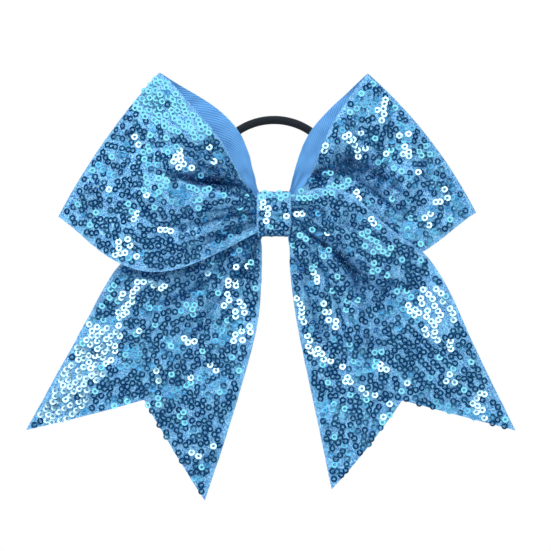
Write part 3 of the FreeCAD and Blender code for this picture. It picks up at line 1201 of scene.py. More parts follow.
    def lean(self, points: Array, normals: Array, loose: Array, seed: int) -> tuple[Array, Array]:
        """Each sequin's own normal, and its colour from 0 to 1 with any painted highlight.

        Most lie within a few degrees of the cloth, and they lie more loosely in its creases. In a patch they
        lean so that they mirror its light to the front: their normal is halfway between light and viewer.
        Those that mirror a light are painted paler too, a painted highlight: pale for the key and aqua for
        the panel.

        Args:
            points: Where each sequin lies.
            normals: The cloth's outward normal there.
            loose: How loosely each one lies, from 0 to 1.
            seed: Picks tilts and tints.

        Returns:
            The sequins' normals, and their colours from 0 to 1, with a painted highlight on those that mirror
            a light.
        """
        draw = np.random.default_rng(seed)
        count = len(points)
        jitter = draw.normal(0.0, 1.0, (count, 3))
        tint_and_glint = self.tint_range * draw.uniform(0.0, 1.0, count)
        glow = np.full(count, Glow.DARK.value)
        chance = draw.uniform(0.0, 1.0, count)
        for patch in self.patches:
            inside = patch.holds(points) & (chance < patch.share)
            glow[inside] = patch.glow.value
        loose = np.maximum(loose, np.where(glow == Glow.LOOSE.value, 1.0, 0.0))
        lean = unit(normals + (self.tilt + self.loose_tilt * loose[:, None]) * jitter)
        alone = draw.uniform(0.0, 1.0, count)
        glow[(glow == Glow.DARK.value) & (alone < self.hot_share)] = Glow.HOT.value
        glow[(glow == Glow.DARK.value) & (alone > 1.0 - self.soft_share)] = Glow.SOFT.value
        behind = normals[:, 1:2] > 0.0
        for kind, light in ((Glow.HOT, self.hot), (Glow.SOFT, self.soft)):
            towards = unit(np.array(light))
            towards = np.where(behind, towards * [1.0, -1.0, 1.0], towards)
            halfway = unit(towards + np.where(behind, [[0.0, 1.0, 0.0]], [[0.0, -1.0, 0.0]]))
            reachable = (halfway * normals).sum(-1) > self.most_turned
            chosen = ((glow == kind.value) & reachable)[:, None]
            lean = np.where(chosen, unit(halfway + self.mirror_tilt * jitter), lean)
            # Painted highlight: rings that mirror a light are coloured paler than the film's own range.
            painted_highlight = self.hot_painted_highlight if kind is Glow.HOT else self.soft_painted_highlight + self.soft_painted_highlight_range * chance
            tint_and_glint = np.where(chosen[:, 0], painted_highlight, tint_and_glint)
        return lean, tint_and_glint

    def ring(self) -> tuple[Array, Array]:
        """One ring about the origin, facing +Z: a slightly dished top over a blunt lower edge.

        Returns:
            The points and the quads.
        """
        angle = np.arange(self.segments) * math.tau / self.segments
        half = self.thickness / 2.0
        radius = np.array([self.hole_radius, self.outer_radius, (self.hole_radius + self.outer_radius) / 2.0])
        height = np.array([half * 0.6, half, -half])
        x, y = np.cos(angle)[:, None] * radius, np.sin(angle)[:, None] * radius
        points = stacked(x, y, height[None, :]).reshape(-1, 3)
        return points, outward(points, grid_quads(self.segments, len(radius), True, True))

    def stitch(self) -> tuple[Array, Array]:
        """One stitch from the hole over the ring's edge to the cloth: a closed tube along a low arch.

        Returns:
            The points and the quads.
        """
        reach = np.array([0.05, 0.7, 1.75])
        height = np.array([-0.25, 0.14, -0.3])
        angle = (np.arange(4) + 0.5) * math.tau / 4.0
        size = 0.08
        y, z = np.cos(angle) * size, np.sin(angle) * size
        points = stacked(reach[:, None], y[None, :], height[:, None] + z[None, :]).reshape(-1, 3)
        sides = grid_quads(len(reach), len(angle), False, True)
        return points, outward(points, np.concatenate([sides, [[0, 1, 2, 3], [11, 10, 9, 8]]]))

    def bridged(self, ribbon: Ribbon, u: Array, t: Array, normals: Array) -> Array:
        """How far a sequin is held off its place by the cloth round it, so that it lies across a narrow fold.

        It is the greatest height above the place, along its normal, of eight points a sequin's radius away.

        Args:
            ribbon: The stretch that they are sewn on.
            u: Shares along it.
            t: Shares across it.
            normals: The outward normals there.

        Returns:
            Millimetres, never below 0.
        """
        angle = np.arange(8) * math.tau / 8.0
        near_u = np.clip(u[:, None] + np.cos(angle) * self.outer_radius / ribbon.length, 0.0, 1.0)
        near_t = np.clip(t[:, None] + np.sin(angle) * self.outer_radius / RIBBON_WIDTH, 0.0, 1.0)
        away = ribbon.at(near_u, near_t) - ribbon.at(u, t)[:, None, :]
        return np.maximum((away * normals[:, None, :]).sum(-1).max(1), 0.0)

    def copies(self, shape: tuple[Array, Array], places: Array, axes: Array) -> tuple[Array, Array]:
        """Copies of one small mesh, each turned to its own axes and moved to its place.

        Args:
            shape: The small mesh's points and quads.
            places: Where each copy goes.
            axes: Each copy's three axes, as rows.

        Returns:
            The points and the quads of all copies.
        """
        points, quads = shape
        moved = places[:, None, :] + np.einsum("nji,pj->npi", axes, points)
        numbers = quads[None] + (np.arange(len(places)) * len(points))[:, None, None]
        return moved.reshape(-1, 3), numbers.reshape(-1, 4)

    def axes_for(self, normals: Array, seed: int) -> Array:
        """Turned axes, one to a row, whose third is the normal, with a random turn about it.

        Args:
            normals: Unit normals.
            seed: Picks the turns.

        Returns:
            Three unit axes to each normal, as rows.
        """
        draw = np.random.default_rng(seed)
        spin = draw.normal(0.0, 1.0, normals.shape)
        first = unit(spin - (spin * normals).sum(-1, keepdims=True) * normals)
        return np.stack([first, np.cross(normals, first), normals], 1)

    def sew(self, name: str, points: Array, normals: Array, loose: Array, seed: int) -> Piece:
        """The sequins' mesh, at points on the cloth's outside.

        Args:
            name: The piece's name.
            points: Where each sequin lies.
            normals: The cloth's outward normal there.
            loose: How loosely each one lies, from 0 to 1.
            seed: Picks tilts and tints.

        Returns:
            The piece, with every ring and its stitch.
        """
        draw = np.random.default_rng(seed + 7)
        lean, tint_and_glint = self.lean(points, normals, loose, seed)
        tilt = np.sqrt(np.clip(1.0 - (lean * normals).sum(-1) ** 2, 0.0, 1.0))
        least, more = self.clearance
        lift = least + more * draw.uniform(0.0, 1.0, len(points)) + self.tilt_lift * tilt * self.outer_radius
        places = points + normals * lift[:, None]
        axes = self.axes_for(lean, seed + 3)
        rings, ring_quads = self.copies(self.ring(), places, axes)
        threads, thread_quads = self.copies(self.stitch(), places, axes)
        return make_piece(
            name,
            np.concatenate([rings, threads]),
            np.concatenate([ring_quads, thread_quads + len(rings)]),
            self.materials.film,
            shade=np.concatenate([np.repeat(tint_and_glint, self.segments * 3), np.zeros(len(threads))]),
            smooth_angle=0.0,
            second=(self.materials.thread, len(ring_quads)),
        )

    def on_ribbon(self, name: str, ribbon: Ribbon) -> Piece:
        """The sequins of one stretch of ribbon.

        Args:
            name: The piece's name.
            ribbon: The stretch that they are sewn on.

        Returns:
            The piece.
        """
        u, t, apart = self.rows(ribbon)
        top = GROSGRAIN_THICKNESS / 2.0 + FABRIC_GAP + FABRIC_THICKNESS
        normals = ribbon.normal(u, t)
        points = ribbon.at(u, t) + normals * top
        kept = self.thinned(points, apart)
        u, t, points, normals = u[kept], t[kept], points[kept], normals[kept]
        points = points + normals * self.bridged(ribbon, u, t, normals)[:, None]
        LOG.info("%s: %d sequins", name, len(u))
        return self.sew(name, points, normals, ribbon.shade(u, t), ribbon.seed + 90)


# ---------------------------------------------------------------- knot and hair tie


@dataclass
class KnotWrap:
    """The strip wrapped round the gather: a rounded band with rolled hems, its front a little arched.

    hem_roll is how far the hems roll in, and hem_draw how much they draw the band in with it. Over edge_reach
    in from the band's outside its front takes its own outline: top_slant and top_rise for the top, low_rise
    and low_arch for the bottom, and low_waist for how much narrower it is there.
    """

    materials: Materials
    rows: int = 96
    columns: int = 22
    squareness: float = 0.42
    hem_roll: float = 0.6
    hem_draw: float = 0.05
    edge_reach: float = 6.0
    top_slant: float = 0.05
    top_rise: float = 0.6
    low_rise: float = 0.1
    low_arch: float = 0.9
    low_waist: float = 0.05
    wave_height: float = 0.25
    wave_lengths: tuple[float, float] = (9.0, 22.0)
    wave_seed: int = 5
    scattered: int = 1500
    hem_share: float = 0.11
    closest: float = 1.9
    scatter_seed: int = 77
    sequin_seed: int = 78

    def __post_init__(self) -> None:
        """Takes its size from the frame's own wrap."""
        low, high = (np.array(corner) / METRES_PER_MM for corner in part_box("knot_wrap_sequin_fabric"))
        self.middle_y = float((low[1] + high[1]) / 2.0)
        self.half = (high - low) / 2.0
        angle = np.linspace(0.0, math.tau, 4001)
        cosine, sine = np.cos(angle), np.sin(angle)
        self.ring_y = -np.sign(cosine) * np.abs(cosine) ** self.squareness
        self.ring_z = np.sign(sine) * np.abs(sine) ** self.squareness
        run = running(np.hypot(np.diff(self.ring_y) * self.half[1], np.diff(self.ring_z) * self.half[2]))
        self.ring_run = run / run[-1]
        self.round = float(run[-1])

    def surface(self, turn: Array, across: Array, inset: float) -> Array:
        """The band's surface: its top slants up to the right, its bottom arches, and its hems roll in.

        It starts as a superellipse of the frame's box, less an inset.

        Args:
            turn: Shares of the way round the band.
            across: Shares across it.
            inset: Millimetres in from the outside.

        Returns:
            The points.
        """
        place = np.mod(turn, 1.0)
        y = self.middle_y + np.interp(place, self.ring_run, self.ring_y) * (self.half[1] - inset)
        z = np.interp(place, self.ring_run, self.ring_z) * (self.half[2] - inset)
        edge = 2.0 * across - 1.0
        x = edge * self.half[0]
        roll = self.hem_roll * np.abs(edge) ** 6
        y = y + np.sign(self.middle_y - y) * roll
        front = smooth_step((self.middle_y - y) / self.edge_reach)
        top, bottom = smooth_step(z / self.edge_reach), smooth_step(-z / self.edge_reach)
        above = self.top_slant * x + self.top_rise
        below = self.low_rise - self.low_arch * edge * edge
        z = z * (1.0 - roll * self.hem_draw) + front * (top * above + bottom * below)
        x = x * (1.0 - self.low_waist * bottom * front)
        y = y - front * self.wave_height * ripple(x * 2.0, z * 2.0, self.wave_seed, *self.wave_lengths)
        return stacked(x, y, z)

    def layer(self, name: str, material: Material, inset: float, thickness: float) -> Piece:
        """One layer of the wrap, a closed band inset from the outside.

        Its cloth runs round the band, and in from a line 1 mm outside its nearer hem.

        Args:
            name: The piece's name.
            material: Its material.
            inset: Millimetres from the band's outside to the layer's.
            thickness: The layer's thickness.

        Returns:
            The piece.
        """
        turn = (np.arange(self.rows) / self.rows)[:, None] + np.zeros((1, self.columns))
        across = np.linspace(0.0, 1.0, self.columns)[None, :] + np.zeros((self.rows, 1))
        faces = [self.surface(turn, across, depth) for depth in (inset + thickness, inset)]
        points, quads = thick_sheet(faces[0], faces[1], True)
        from_hem = self.half[0] * (1.0 - np.abs(np.linspace(-1.0, 1.0, self.columns))) + 1.0
        cloth = np.tile(stacked(turn * self.round, from_hem).reshape(-1, 2), (2, 1))
        return make_piece(name, points, quads, material, cloth=cloth)

    def sequined(self, sequins: Sequins) -> Piece:
        """The wrap's sequins, scattered all round it.

        Args:
            sequins: The kind of sequins.

        Returns:
            The piece.
        """
        draw = np.random.default_rng(self.scatter_seed)
        turn = draw.uniform(0.0, 1.0, self.scattered)
        across = draw.uniform(self.hem_share, 1.0 - self.hem_share, self.scattered)
        points = self.surface(turn, across, 0.0)
        step = 2e-3
        along = self.surface(turn + step, across, 0.0) - self.surface(turn - step, across, 0.0)
        aside = self.surface(turn, across + step, 0.0) - self.surface(turn, across - step, 0.0)
        normals = unit(np.cross(along, aside))
        centre = np.array([0.0, self.middle_y, 0.0])
        normals = normals * np.sign(((points - centre) * normals).sum(-1, keepdims=True))
        kept = sequins.thinned(points, np.full(len(points), self.closest))
        LOG.info("knot wrap: %d sequins", kept.sum())
        tight = np.zeros(kept.sum())
        return sequins.sew("knot_wrap_sequins", points[kept], normals[kept], tight, self.sequin_seed)

    def build(self, sequins: Sequins) -> list[Piece]:
        """The wrap's two layers and its sequins.

        Args:
            sequins: The kind of sequins.

        Returns:
            The fabric, the ribbon and the sequins.
        """
        fabric = self.layer("knot_wrap_fabric", self.materials.fabric, 0.0, FABRIC_THICKNESS)
        inset = FABRIC_THICKNESS + FABRIC_GAP
        ribbon = self.layer("knot_wrap_ribbon", self.materials.left_ribbon, inset, GROSGRAIN_THICKNESS)
        rings = self.sequined(sequins)
        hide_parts("knot_wrap_sequin_fabric")
        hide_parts("knot_wrap_grosgrain")
        for piece, name in ((fabric, "sequin_fabric"), (ribbon, "grosgrain"), (rings, "sequin_fabric")):
            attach(piece, "bow")
        return [fabric, ribbon, rings]


@dataclass
class HairTie:
    """The elastic: a closed ring of braided cord, straight through the knot, leaning back.

    yarn_pitch is the length in which a yarn crosses the next one, yarns how many wind each way, and
    yarn_height how far their crossings stand out.
    """

    materials: Materials
    radius: float = 1.66
    top_radius: float = 25.0
    side_radius: float = 15.9
    half_straight: float = 6.9
    lean: float = 10.0
    rows: int = 700
    columns: int = 32
    yarn_pitch: float = 1.5
    yarns: int = 4
    yarn_height: float = 0.05

    def path(self) -> tuple[Array, Array]:
        """The ring's centre line and its directions: a straight, a side arc, the top arc, and back.

        Each arc starts in the direction in which the one before it ends, so the top arc's half angle is the
        one whose sine is half the straight over the difference of the two radii.

        Returns:
            The points and the unit directions, each one to a row.
        """
        half, side, wide = self.half_straight, self.side_radius, self.top_radius
        top = math.asin(half / (wide - side))
        lengths = np.array([half, side * (math.pi - top), wide * 2.0 * top, side * (math.pi - top), half])
        turns = [0.0, 0.0, math.pi - top, math.pi + top, math.tau, math.tau]
        ends = running(lengths)
        self.length = float(ends[-1])
        s = np.arange(self.rows) * self.length / self.rows
        heading = np.interp(s, ends, turns)
        fine = np.linspace(0.0, self.length, 20001)
        bearing = np.interp(fine, ends, turns)
        bearing = bearing[:-1] + np.diff(bearing) / 2.0
        step = fine[1] - fine[0]
        x, z = (np.interp(s, fine, running(part(bearing)) * step) for part in (np.cos, np.sin))
        return stacked(x, 0.0, z), stacked(np.cos(heading), 0.0, np.sin(heading))

    def build(self) -> Piece:
        """The braided cord: a round section carried along the ring, the yarns' crossings raised a little.

        The raised part is the product of two sines' sizes, whose crests wind round the cord in opposite
        directions. The ring then leans back about X, and goes to the place of its joint.

        Returns:
            The cord.
        """
        points, directions = self.path()
        back = np.array([0.0, 1.0, 0.0])
        inward = np.cross(directions, back)
        angle = np.arange(self.columns) * math.tau / self.columns
        s = np.arange(self.rows)[:, None] * self.length / self.rows
        turn = s * math.pi / self.yarn_pitch
        crossed = np.abs(np.sin(turn + self.yarns * angle)) * np.abs(np.sin(turn - self.yarns * angle))
        radius = self.radius - self.yarn_height + self.yarn_height * crossed
        section = np.cos(angle)[:, None] * inward[:, None, :] + np.sin(angle)[:, None] * back
        ring = points[:, None, :] + radius[..., None] * section
        a = math.radians(self.lean)
        joint = next(j for j in frame["joints"] if j["name"] == "hair_tie_swing")
        y = ring[..., 1] * math.cos(a) + ring[..., 2] * math.sin(a)
        z = -ring[..., 1] * math.sin(a) + ring[..., 2] * math.cos(a)
        turned = stacked(ring[..., 0], y, z).reshape(-1, 3) + np.array(joint["pos_m"]) / METRES_PER_MM
        quads = outward(turned, grid_quads(self.rows, self.columns, True, True))
        cloth = stacked(s, angle[None, :] * self.radius).reshape(-1, 2)
        cord = make_piece("hair_tie_braided_cord", turned, quads, self.materials.braid, cloth=cloth)
        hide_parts("hair_tie_braid")
        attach(cord, "hair_tie")
        LOG.info("hair tie: %.0f mm round", self.length)
        return cord


# ---------------------------------------------------------------- the bow

KNOT_SIDE = 5.6
BACK_Y, UNDER_Y, OVER_Y = -6.72, -10.42, -14.12
HOT, SOFT, LOOSE = Glow.HOT, Glow.SOFT, Glow.LOOSE


def left_loop() -> Loop:
    """The left loop, whose front lies over everything on its side.

    Returns:
        The loop.
    """
    return Loop(
        side=Side.LEFT, seed=11,
        top=(
            (-KNOT_SIDE, BACK_Y, 6.6), (-8.5, -5.8, 18), (-13.1, -4.6, 31.6), (-24, -3.2, 43.2),
            (-37, -3.6, 51.2), (-44.8, -8.5, 55.9), (-40, -13.6, 51), (-29, -18, 39), (-19, -19, 26),
            (-11.5, -17, 12), (-KNOT_SIDE, OVER_Y, 6.5),
        ),
        bottom=(
            (-KNOT_SIDE, BACK_Y, -6.6), (-22, -5.4, -12), (-40, -3.6, -17), (-58, -3, -15.5),
            (-75, -3.6, -7), (-84.9, -8.5, -1), (-76.5, -13.6, -7.6), (-61.6, -18, -18.8),
            (-42, -19.5, -22.4), (-21.7, -17.5, -14.8), (-KNOT_SIDE, OVER_Y, -6.5),
        ),
        fold_bow=2.2, belly=3, gathered=0.75,
        pleats=(Pleat(0.62, 1.2, 16), Pleat(0.86, 1.4, 18), Pleat(0.2, 1.2, 16)),
        creases=(
            Crease((
                (-6.3, 7, 1.2, 1.6), (-13.1, 10.5, 3.8, 2.8), (-19.9, 11.8, 5.6, 3.8),
                (-26.7, 12.1, 5.8, 4.4), (-36.9, 14.5, 4, 5), (-43.5, 15.8, 1.8, 4.5), (-50, 17, 0, 4),
            ), 0.35),
            Crease((
                (-6.3, -0.1, 2.1, 1.3), (-16.6, -1, 3.6, 2), (-25, -2.8, 3, 2.6), (-33, -4.5, 1.5, 3.2),
                (-42, -6, 0, 3.5),
            )),
            Crease(((-6.3, -4.2, 1, 1.5), (-18, -8.5, 2.6, 2), (-32, -13, 1.6, 2.6), (-45, -16, 0, 3))),
            Crease(((-6.3, 5.4, 1.2, 0.8), (-14, 8, 2.1, 1), (-24, 9.2, 2, 1.1), (-36, 10.6, 0, 1)), 1),
            Crease(((-6.3, 3.6, 1.2, 0.8), (-16, 2.6, 1.8, 1), (-26, 1.2, 1.7, 1), (-36, 0.2, 0, 1)), 1),
            Crease(((-6.3, -2.4, 1.2, 0.8), (-17, -5.4, 2, 1), (-29, -9.5, 1.4, 1), (-40, -12.5, 0, 1)), 1),
            Crease(((-12, 15, 0, 1), (-20, 17.5, 1.8, 1), (-30, 19, 1.5, 1.1), (-40, 21, 0, 1)), 1),
        ),
        back_pleats=(Pleat(0.3, 2, 26), Pleat(0.55, 2.6, 30), Pleat(0.78, 1.8, 22)),
    )


def right_loop() -> Loop:
    """The right loop, whose front is partly under the right tail.

    Returns:
        The loop.
    """
    return Loop(
        side=Side.RIGHT, seed=23,
        top=(
            (KNOT_SIDE, BACK_Y, 6.6), (8.3, -5.8, 18), (12.8, -4.6, 30), (20.5, -3.2, 40.3),
            (30, -3.6, 49.3), (36.7, -8.5, 55.5), (32, -12.6, 49.3), (24, -15.6, 37), (17.2, -16, 23),
            (12.4, -14, 11.5), (KNOT_SIDE, UNDER_Y, 6.5),
        ),
        bottom=(
            (KNOT_SIDE, BACK_Y, -6.6), (22, -5.4, -11.5), (38, -3.6, -15.5), (54, -3, -13.5),
            (70, -3.6, -4.8), (79.5, -8.5, 0.6), (71.5, -11.8, -5.2), (56.9, -13.2, -15.6),
            (38, -13.6, -18.6), (20, -12.2, -12.6), (KNOT_SIDE, UNDER_Y, -6.5),
        ),
        fold_bow=3.3, belly=1.5, gathered=0.3,
        pleats=(Pleat(0.52, 1, 20), Pleat(0.75, 1, 18)),
        creases=(
            Crease((
                (6.3, 7.3, 1.5, 2), (14, 12.1, 3, 3.2), (22, 15.5, 3, 4), (30, 17, 1.8, 5), (38, 17, 0, 5),
            )),
            Crease(((20, 24, 0, 5), (30, 21, 2.4, 7), (42, 16, 2.6, 8), (54, 11, 0, 7)), 1),
            Crease(((6.3, 9, 1.2, 0.8), (14, 14.5, 1.8, 1), (22, 18.8, 1.8, 1), (34, 23, 0, 1.1)), 1),
            Crease(((30, 16, 0, 1), (38, 10, 2, 1.1), (46, 3.5, 2, 1.1), (53, -3, 0, 1)), 1),
            Crease(((34, 20, 0, 1), (43, 14.5, 1.8, 1.1), (51, 8, 1.7, 1.1), (58, 1, 0, 1)), 1),
        ),
        back_pleats=(Pleat(0.28, 2, 26), Pleat(0.52, 2.6, 30), Pleat(0.76, 1.8, 22)),
    )


def left_tail() -> Tail:
    """The left tail, which comes out from inside the left loop.

    Returns:
        The tail.
    """
    return Tail(
        side=Side.LEFT, seed=31,
        outer=(
            (-KNOT_SIDE, UNDER_Y, 6), (-19, -11.4, 3), (-33, -12, -3), (-47.5, -12, -10.5),
            (-58, -12, -17.2), (-65.2, -12, -25.8), (-73.5, -12, -40.9), (-81.6, -12, -55.8),
            (-89.6, -12, -70.4), (-97.7, -12, -85),
        ),
        inner=(
            (-KNOT_SIDE, UNDER_Y, -6.6), (-4.9, -11.4, -14), (-4.9, -12, -23), (-5.4, -12, -33),
            (-6.4, -12, -42.5), (-9, -12, -54), (-12.6, -12, -67), (-17.2, -12, -82), (-22.2, -12, -97.5),
            (-27.4, -12, -113),
        ),
        notch=0.245,
        pleats=(Pleat(0.25, 1.2, 26), Pleat(0.5, 1.4, 30), Pleat(0.75, 1.5, 34)),
        creases=(
            Crease(((-6, -9, 1.2, 2), (-9.5, -20, 2, 3), (-20, -38, 1.2, 5), (-28, -56, 0, 6))),
            Crease((
                (-6, -11, 1.2, 0.8), (-13, -22, 1.8, 1.1), (-22, -34, 1.7, 1.2), (-32, -46, 0, 1.2),
            ), 1),
            Crease(((-16, -18, 0, 0.8), (-28, -27, 1.8, 1.1), (-40, -33, 1.7, 1.2), (-52, -37, 0, 1.2)), 1),
        ),
    )


def right_tail() -> Tail:
    """The right tail, which lies over the right loop and has one deep valley.

    Returns:
        The tail.
    """
    return Tail(
        side=Side.RIGHT, seed=47,
        outer=(
            (KNOT_SIDE, OVER_Y, 6.5), (18, -19.5, 10), (30.5, -21.6, 7.6), (43.8, -20.5, -4.1),
            (57.4, -17, -14), (65.2, -15, -23.4), (71.6, -15, -35.6), (79, -15, -52.4), (87.1, -15, -68.8),
            (95.2, -15, -85.2),
        ),
        inner=(
            (KNOT_SIDE, OVER_Y, -6.6), (6.2, -15.8, -13.5), (6.6, -16.4, -21.5), (7.4, -16.2, -30),
            (8.6, -15.6, -39), (10.4, -15, -49.5), (13.2, -15, -63), (16.3, -15, -77.5), (19.5, -15, -92.8),
            (22.8, -15, -108.2),
        ),
        notch=0.215, gathered=-0.2,
        pleats=(Pleat(0.33, 1.4, 18), Pleat(0.82, 1.4, 22), Pleat(0.12, -0.8, 36, 0.1)),
        creases=(
            Crease(((6.7, 0.6, 0.9, 1), (12, 0.6, 1.8, 1.6), (18.8, 0, 1, 1.8), (25, -1, 0, 1.6)), 0.6),
            Crease((
                (7, -4, 1.8, 1.2), (11.5, -5.6, 3.6, 1.6), (14.8, -8.9, 4.6, 2), (20.8, -13.2, 4.7, 2.3),
                (25.3, -16.8, 4.5, 2.8), (29.2, -21.4, 3.8, 3.6), (33, -30, 2.5, 5), (36, -40, 1.5, 6.5),
                (38, -52, 0, 7),
            ), 0.5),
            Crease(((27, -18, 1.2, 2.5), (34, -23.8, 2, 3), (42, -30, 1.2, 3), (50, -34, 0, 3)), 0.6),
            Crease(((7, -1.6, 1.2, 0.8), (14, -4, 1.7, 1), (22, -8.4, 1.7, 1.1), (32, -15, 0, 1.2)), 1),
            Crease((
                (8, -8, 0.9, 0.8), (13, -13, 1.5, 1), (18, -20, 2, 1.1), (23, -30, 1.8, 1.2),
                (27, -42, 1.4, 1.3), (30, -54, 0, 1.3),
            ), 1),
            Crease(((7.6, -12, 0.9, 0.8), (10, -22, 1.7, 1), (14, -34, 1.7, 1.1), (19, -48, 0, 1.2)), 1),
            Crease((
                (40, -23, 0, 2), (46, -26.8, 1.8, 3), (52, -29, 2.4, 3.2), (57.5, -28, 1.6, 3),
                (62.5, -25.8, 0, 2.5),
            ), 0.6),
        ),
    )


def patches(*rows: tuple) -> tuple[Patch, ...]:
    """Patches from rows of their fields in order; a row without a share takes the usual one."""
    return tuple(Patch(*row) for row in rows)


PATCHES = patches(
    # Loose rings, in the folds that run out from the knot.
    (9.5, -18, 17, -50, 3.6, LOOSE, 0.75), (31, -22, 38, -50, 4.5, LOOSE, 0.5),
    (14, 2, 32, -3, 3.4, LOOSE, 0.8), (45, 12, 39, -3, 5, LOOSE, 0.8), (24, 22, 36, 16, 5, LOOSE, 0.7),
    (-33, -4, -9, -1, 4.5, LOOSE, 0.8), (-28, 16, -12, 14, 4.5, LOOSE, 0.8),
    (-52, -24, -22, -26, 4.5, LOOSE, 0.7), (-24, -30, -34, -46, 4, LOOSE, 0.5),
    (-57, 34, -72, 10, 2.5, LOOSE, 0.7),
    # Left tail.
    (-69, -50, -84, -78.5, 8, HOT), (-55.3, -29, -60.8, -40.1, 3, HOT), (-50.5, -26, -45, -28, 2, HOT),
    (-62.2, -45, -62.2, -50.5, 1.8, HOT), (-16.2, -26.3, -17.9, -35.9, 2.2, HOT),
    (-10.3, -20, -15.4, -20, 1.4, HOT), (-13.2, -34.2, -14.6, -40.1, 1.6, HOT),
    (-9.6, -44.2, -14.4, -50.5, 1.8, HOT), (-34.6, -50.8, -32.6, -50.8, 2.2, HOT),
    (-46.8, -60, -46, -65, 1.5, HOT), (-20.6, -87, -25.5, -104.9, 1.2, HOT, 0.5),
    (-32.4, -36.9, -31.4, -36.9, 2.5, SOFT), (-63, -29, -63, -34, 2.5, SOFT, 0.6),
    (-36.3, -85.8, -35.3, -85.8, 1.5, SOFT),
    # Right tail.
    (56.8, -36.7, 68.3, -40.8, 4.6, HOT), (62.2, -32.2, 63.6, -46, 4.6, HOT),
    (70, -52.5, 72, -48.2, 1.8, HOT), (69.3, -63.5, 69.3, -65.5, 2.2, HOT),
    (82.6, -60.5, 86, -67.9, 1.6, HOT), (78.5, -71, 84.6, -71, 1.5, HOT),
    (79.5, -74.7, 81.9, -80.8, 2.4, HOT), (10.6, -48.2, 22.1, -58.4, 2.2, HOT),
    (26.2, -61.1, 31, -66.6, 1.6, HOT), (35.7, -71, 39.4, -72.5, 1.6, HOT), (51.7, -66, 54, -66, 1.2, HOT),
    (42.1, -59.5, 43.5, -62.5, 1.4, HOT), (18.7, -35.3, 23.5, -43.1, 1.6, HOT),
    (16.4, -22.5, 18.7, -28, 1.5, HOT), (8.9, -33.3, 10.6, -41.4, 1.5, HOT),
    (35.5, -9, 42.5, -13.5, 3, SOFT),
    # The right tail's upper ridge, and the rings below it.
    (7.5, 5.6, 17, 7.8, 1.8, SOFT), (17, 7.8, 29.5, 12, 1.8, SOFT), (31.9, 7.6, 31.9, 6.6, 1.4, HOT),
    (36.7, 0, 38.8, -4.8, 1.3, HOT),
    # Left loop.
    (-46, 49.5, -40, 45, 7, SOFT, 0.97), (-50, 43, -29, 34.5, 5.5, SOFT, 0.97),
    (-49, 32, -51, 22.3, 2, SOFT), (-38, 23, -33.5, 17, 3, HOT), (-48, 11, -43.5, 12.5, 4, SOFT),
    (-37, 9.6, -20.5, 9.6, 1.3, SOFT, 0.6), (-54, -1, -54.5, -5.5, 1.6, HOT),
    (-43.6, -6.7, -40, -4.6, 1.6, HOT), (-57, -10, -61, -15.5, 2.2, HOT),
    # Right loop.
    (28.6, 39.7, 32.3, 39.7, 1.3, SOFT), (43, 44, 42.5, 38.7, 2.2, HOT), (29, 29.5, 31.5, 24, 2.8, HOT),
    (22.5, 28.8, 19.5, 22.3, 1.6, HOT, 0.6), (48.7, 31.3, 54.2, 31.3, 1.2, HOT),
    (51.7, 27.7, 52.4, 23.3, 1.4, HOT), (60, 29.2, 60.5, 28.2, 1.6, SOFT), (67, 8.1, 66.3, 6.1, 2, HOT),
    (62.5, 3.5, 59.5, -3, 2, HOT), (56.5, -6.8, 57.5, -7.8, 1.5, HOT),
    (47.6, 18.2, 39.6, 20, 1.4, SOFT, 0.5), (58, -10.5, 59, -10.5, 1.5, SOFT),
)
KNOT_PATCHES = patches(
    (-3, 7.4, 5, 7.8, 2.2, SOFT, 0.95), (-3.6, 3.5, -2.2, -3.3, 1.5, HOT, 0.7),
    (3.8, -0.7, 3.8, -0.6, 1.2, HOT, 1),
)


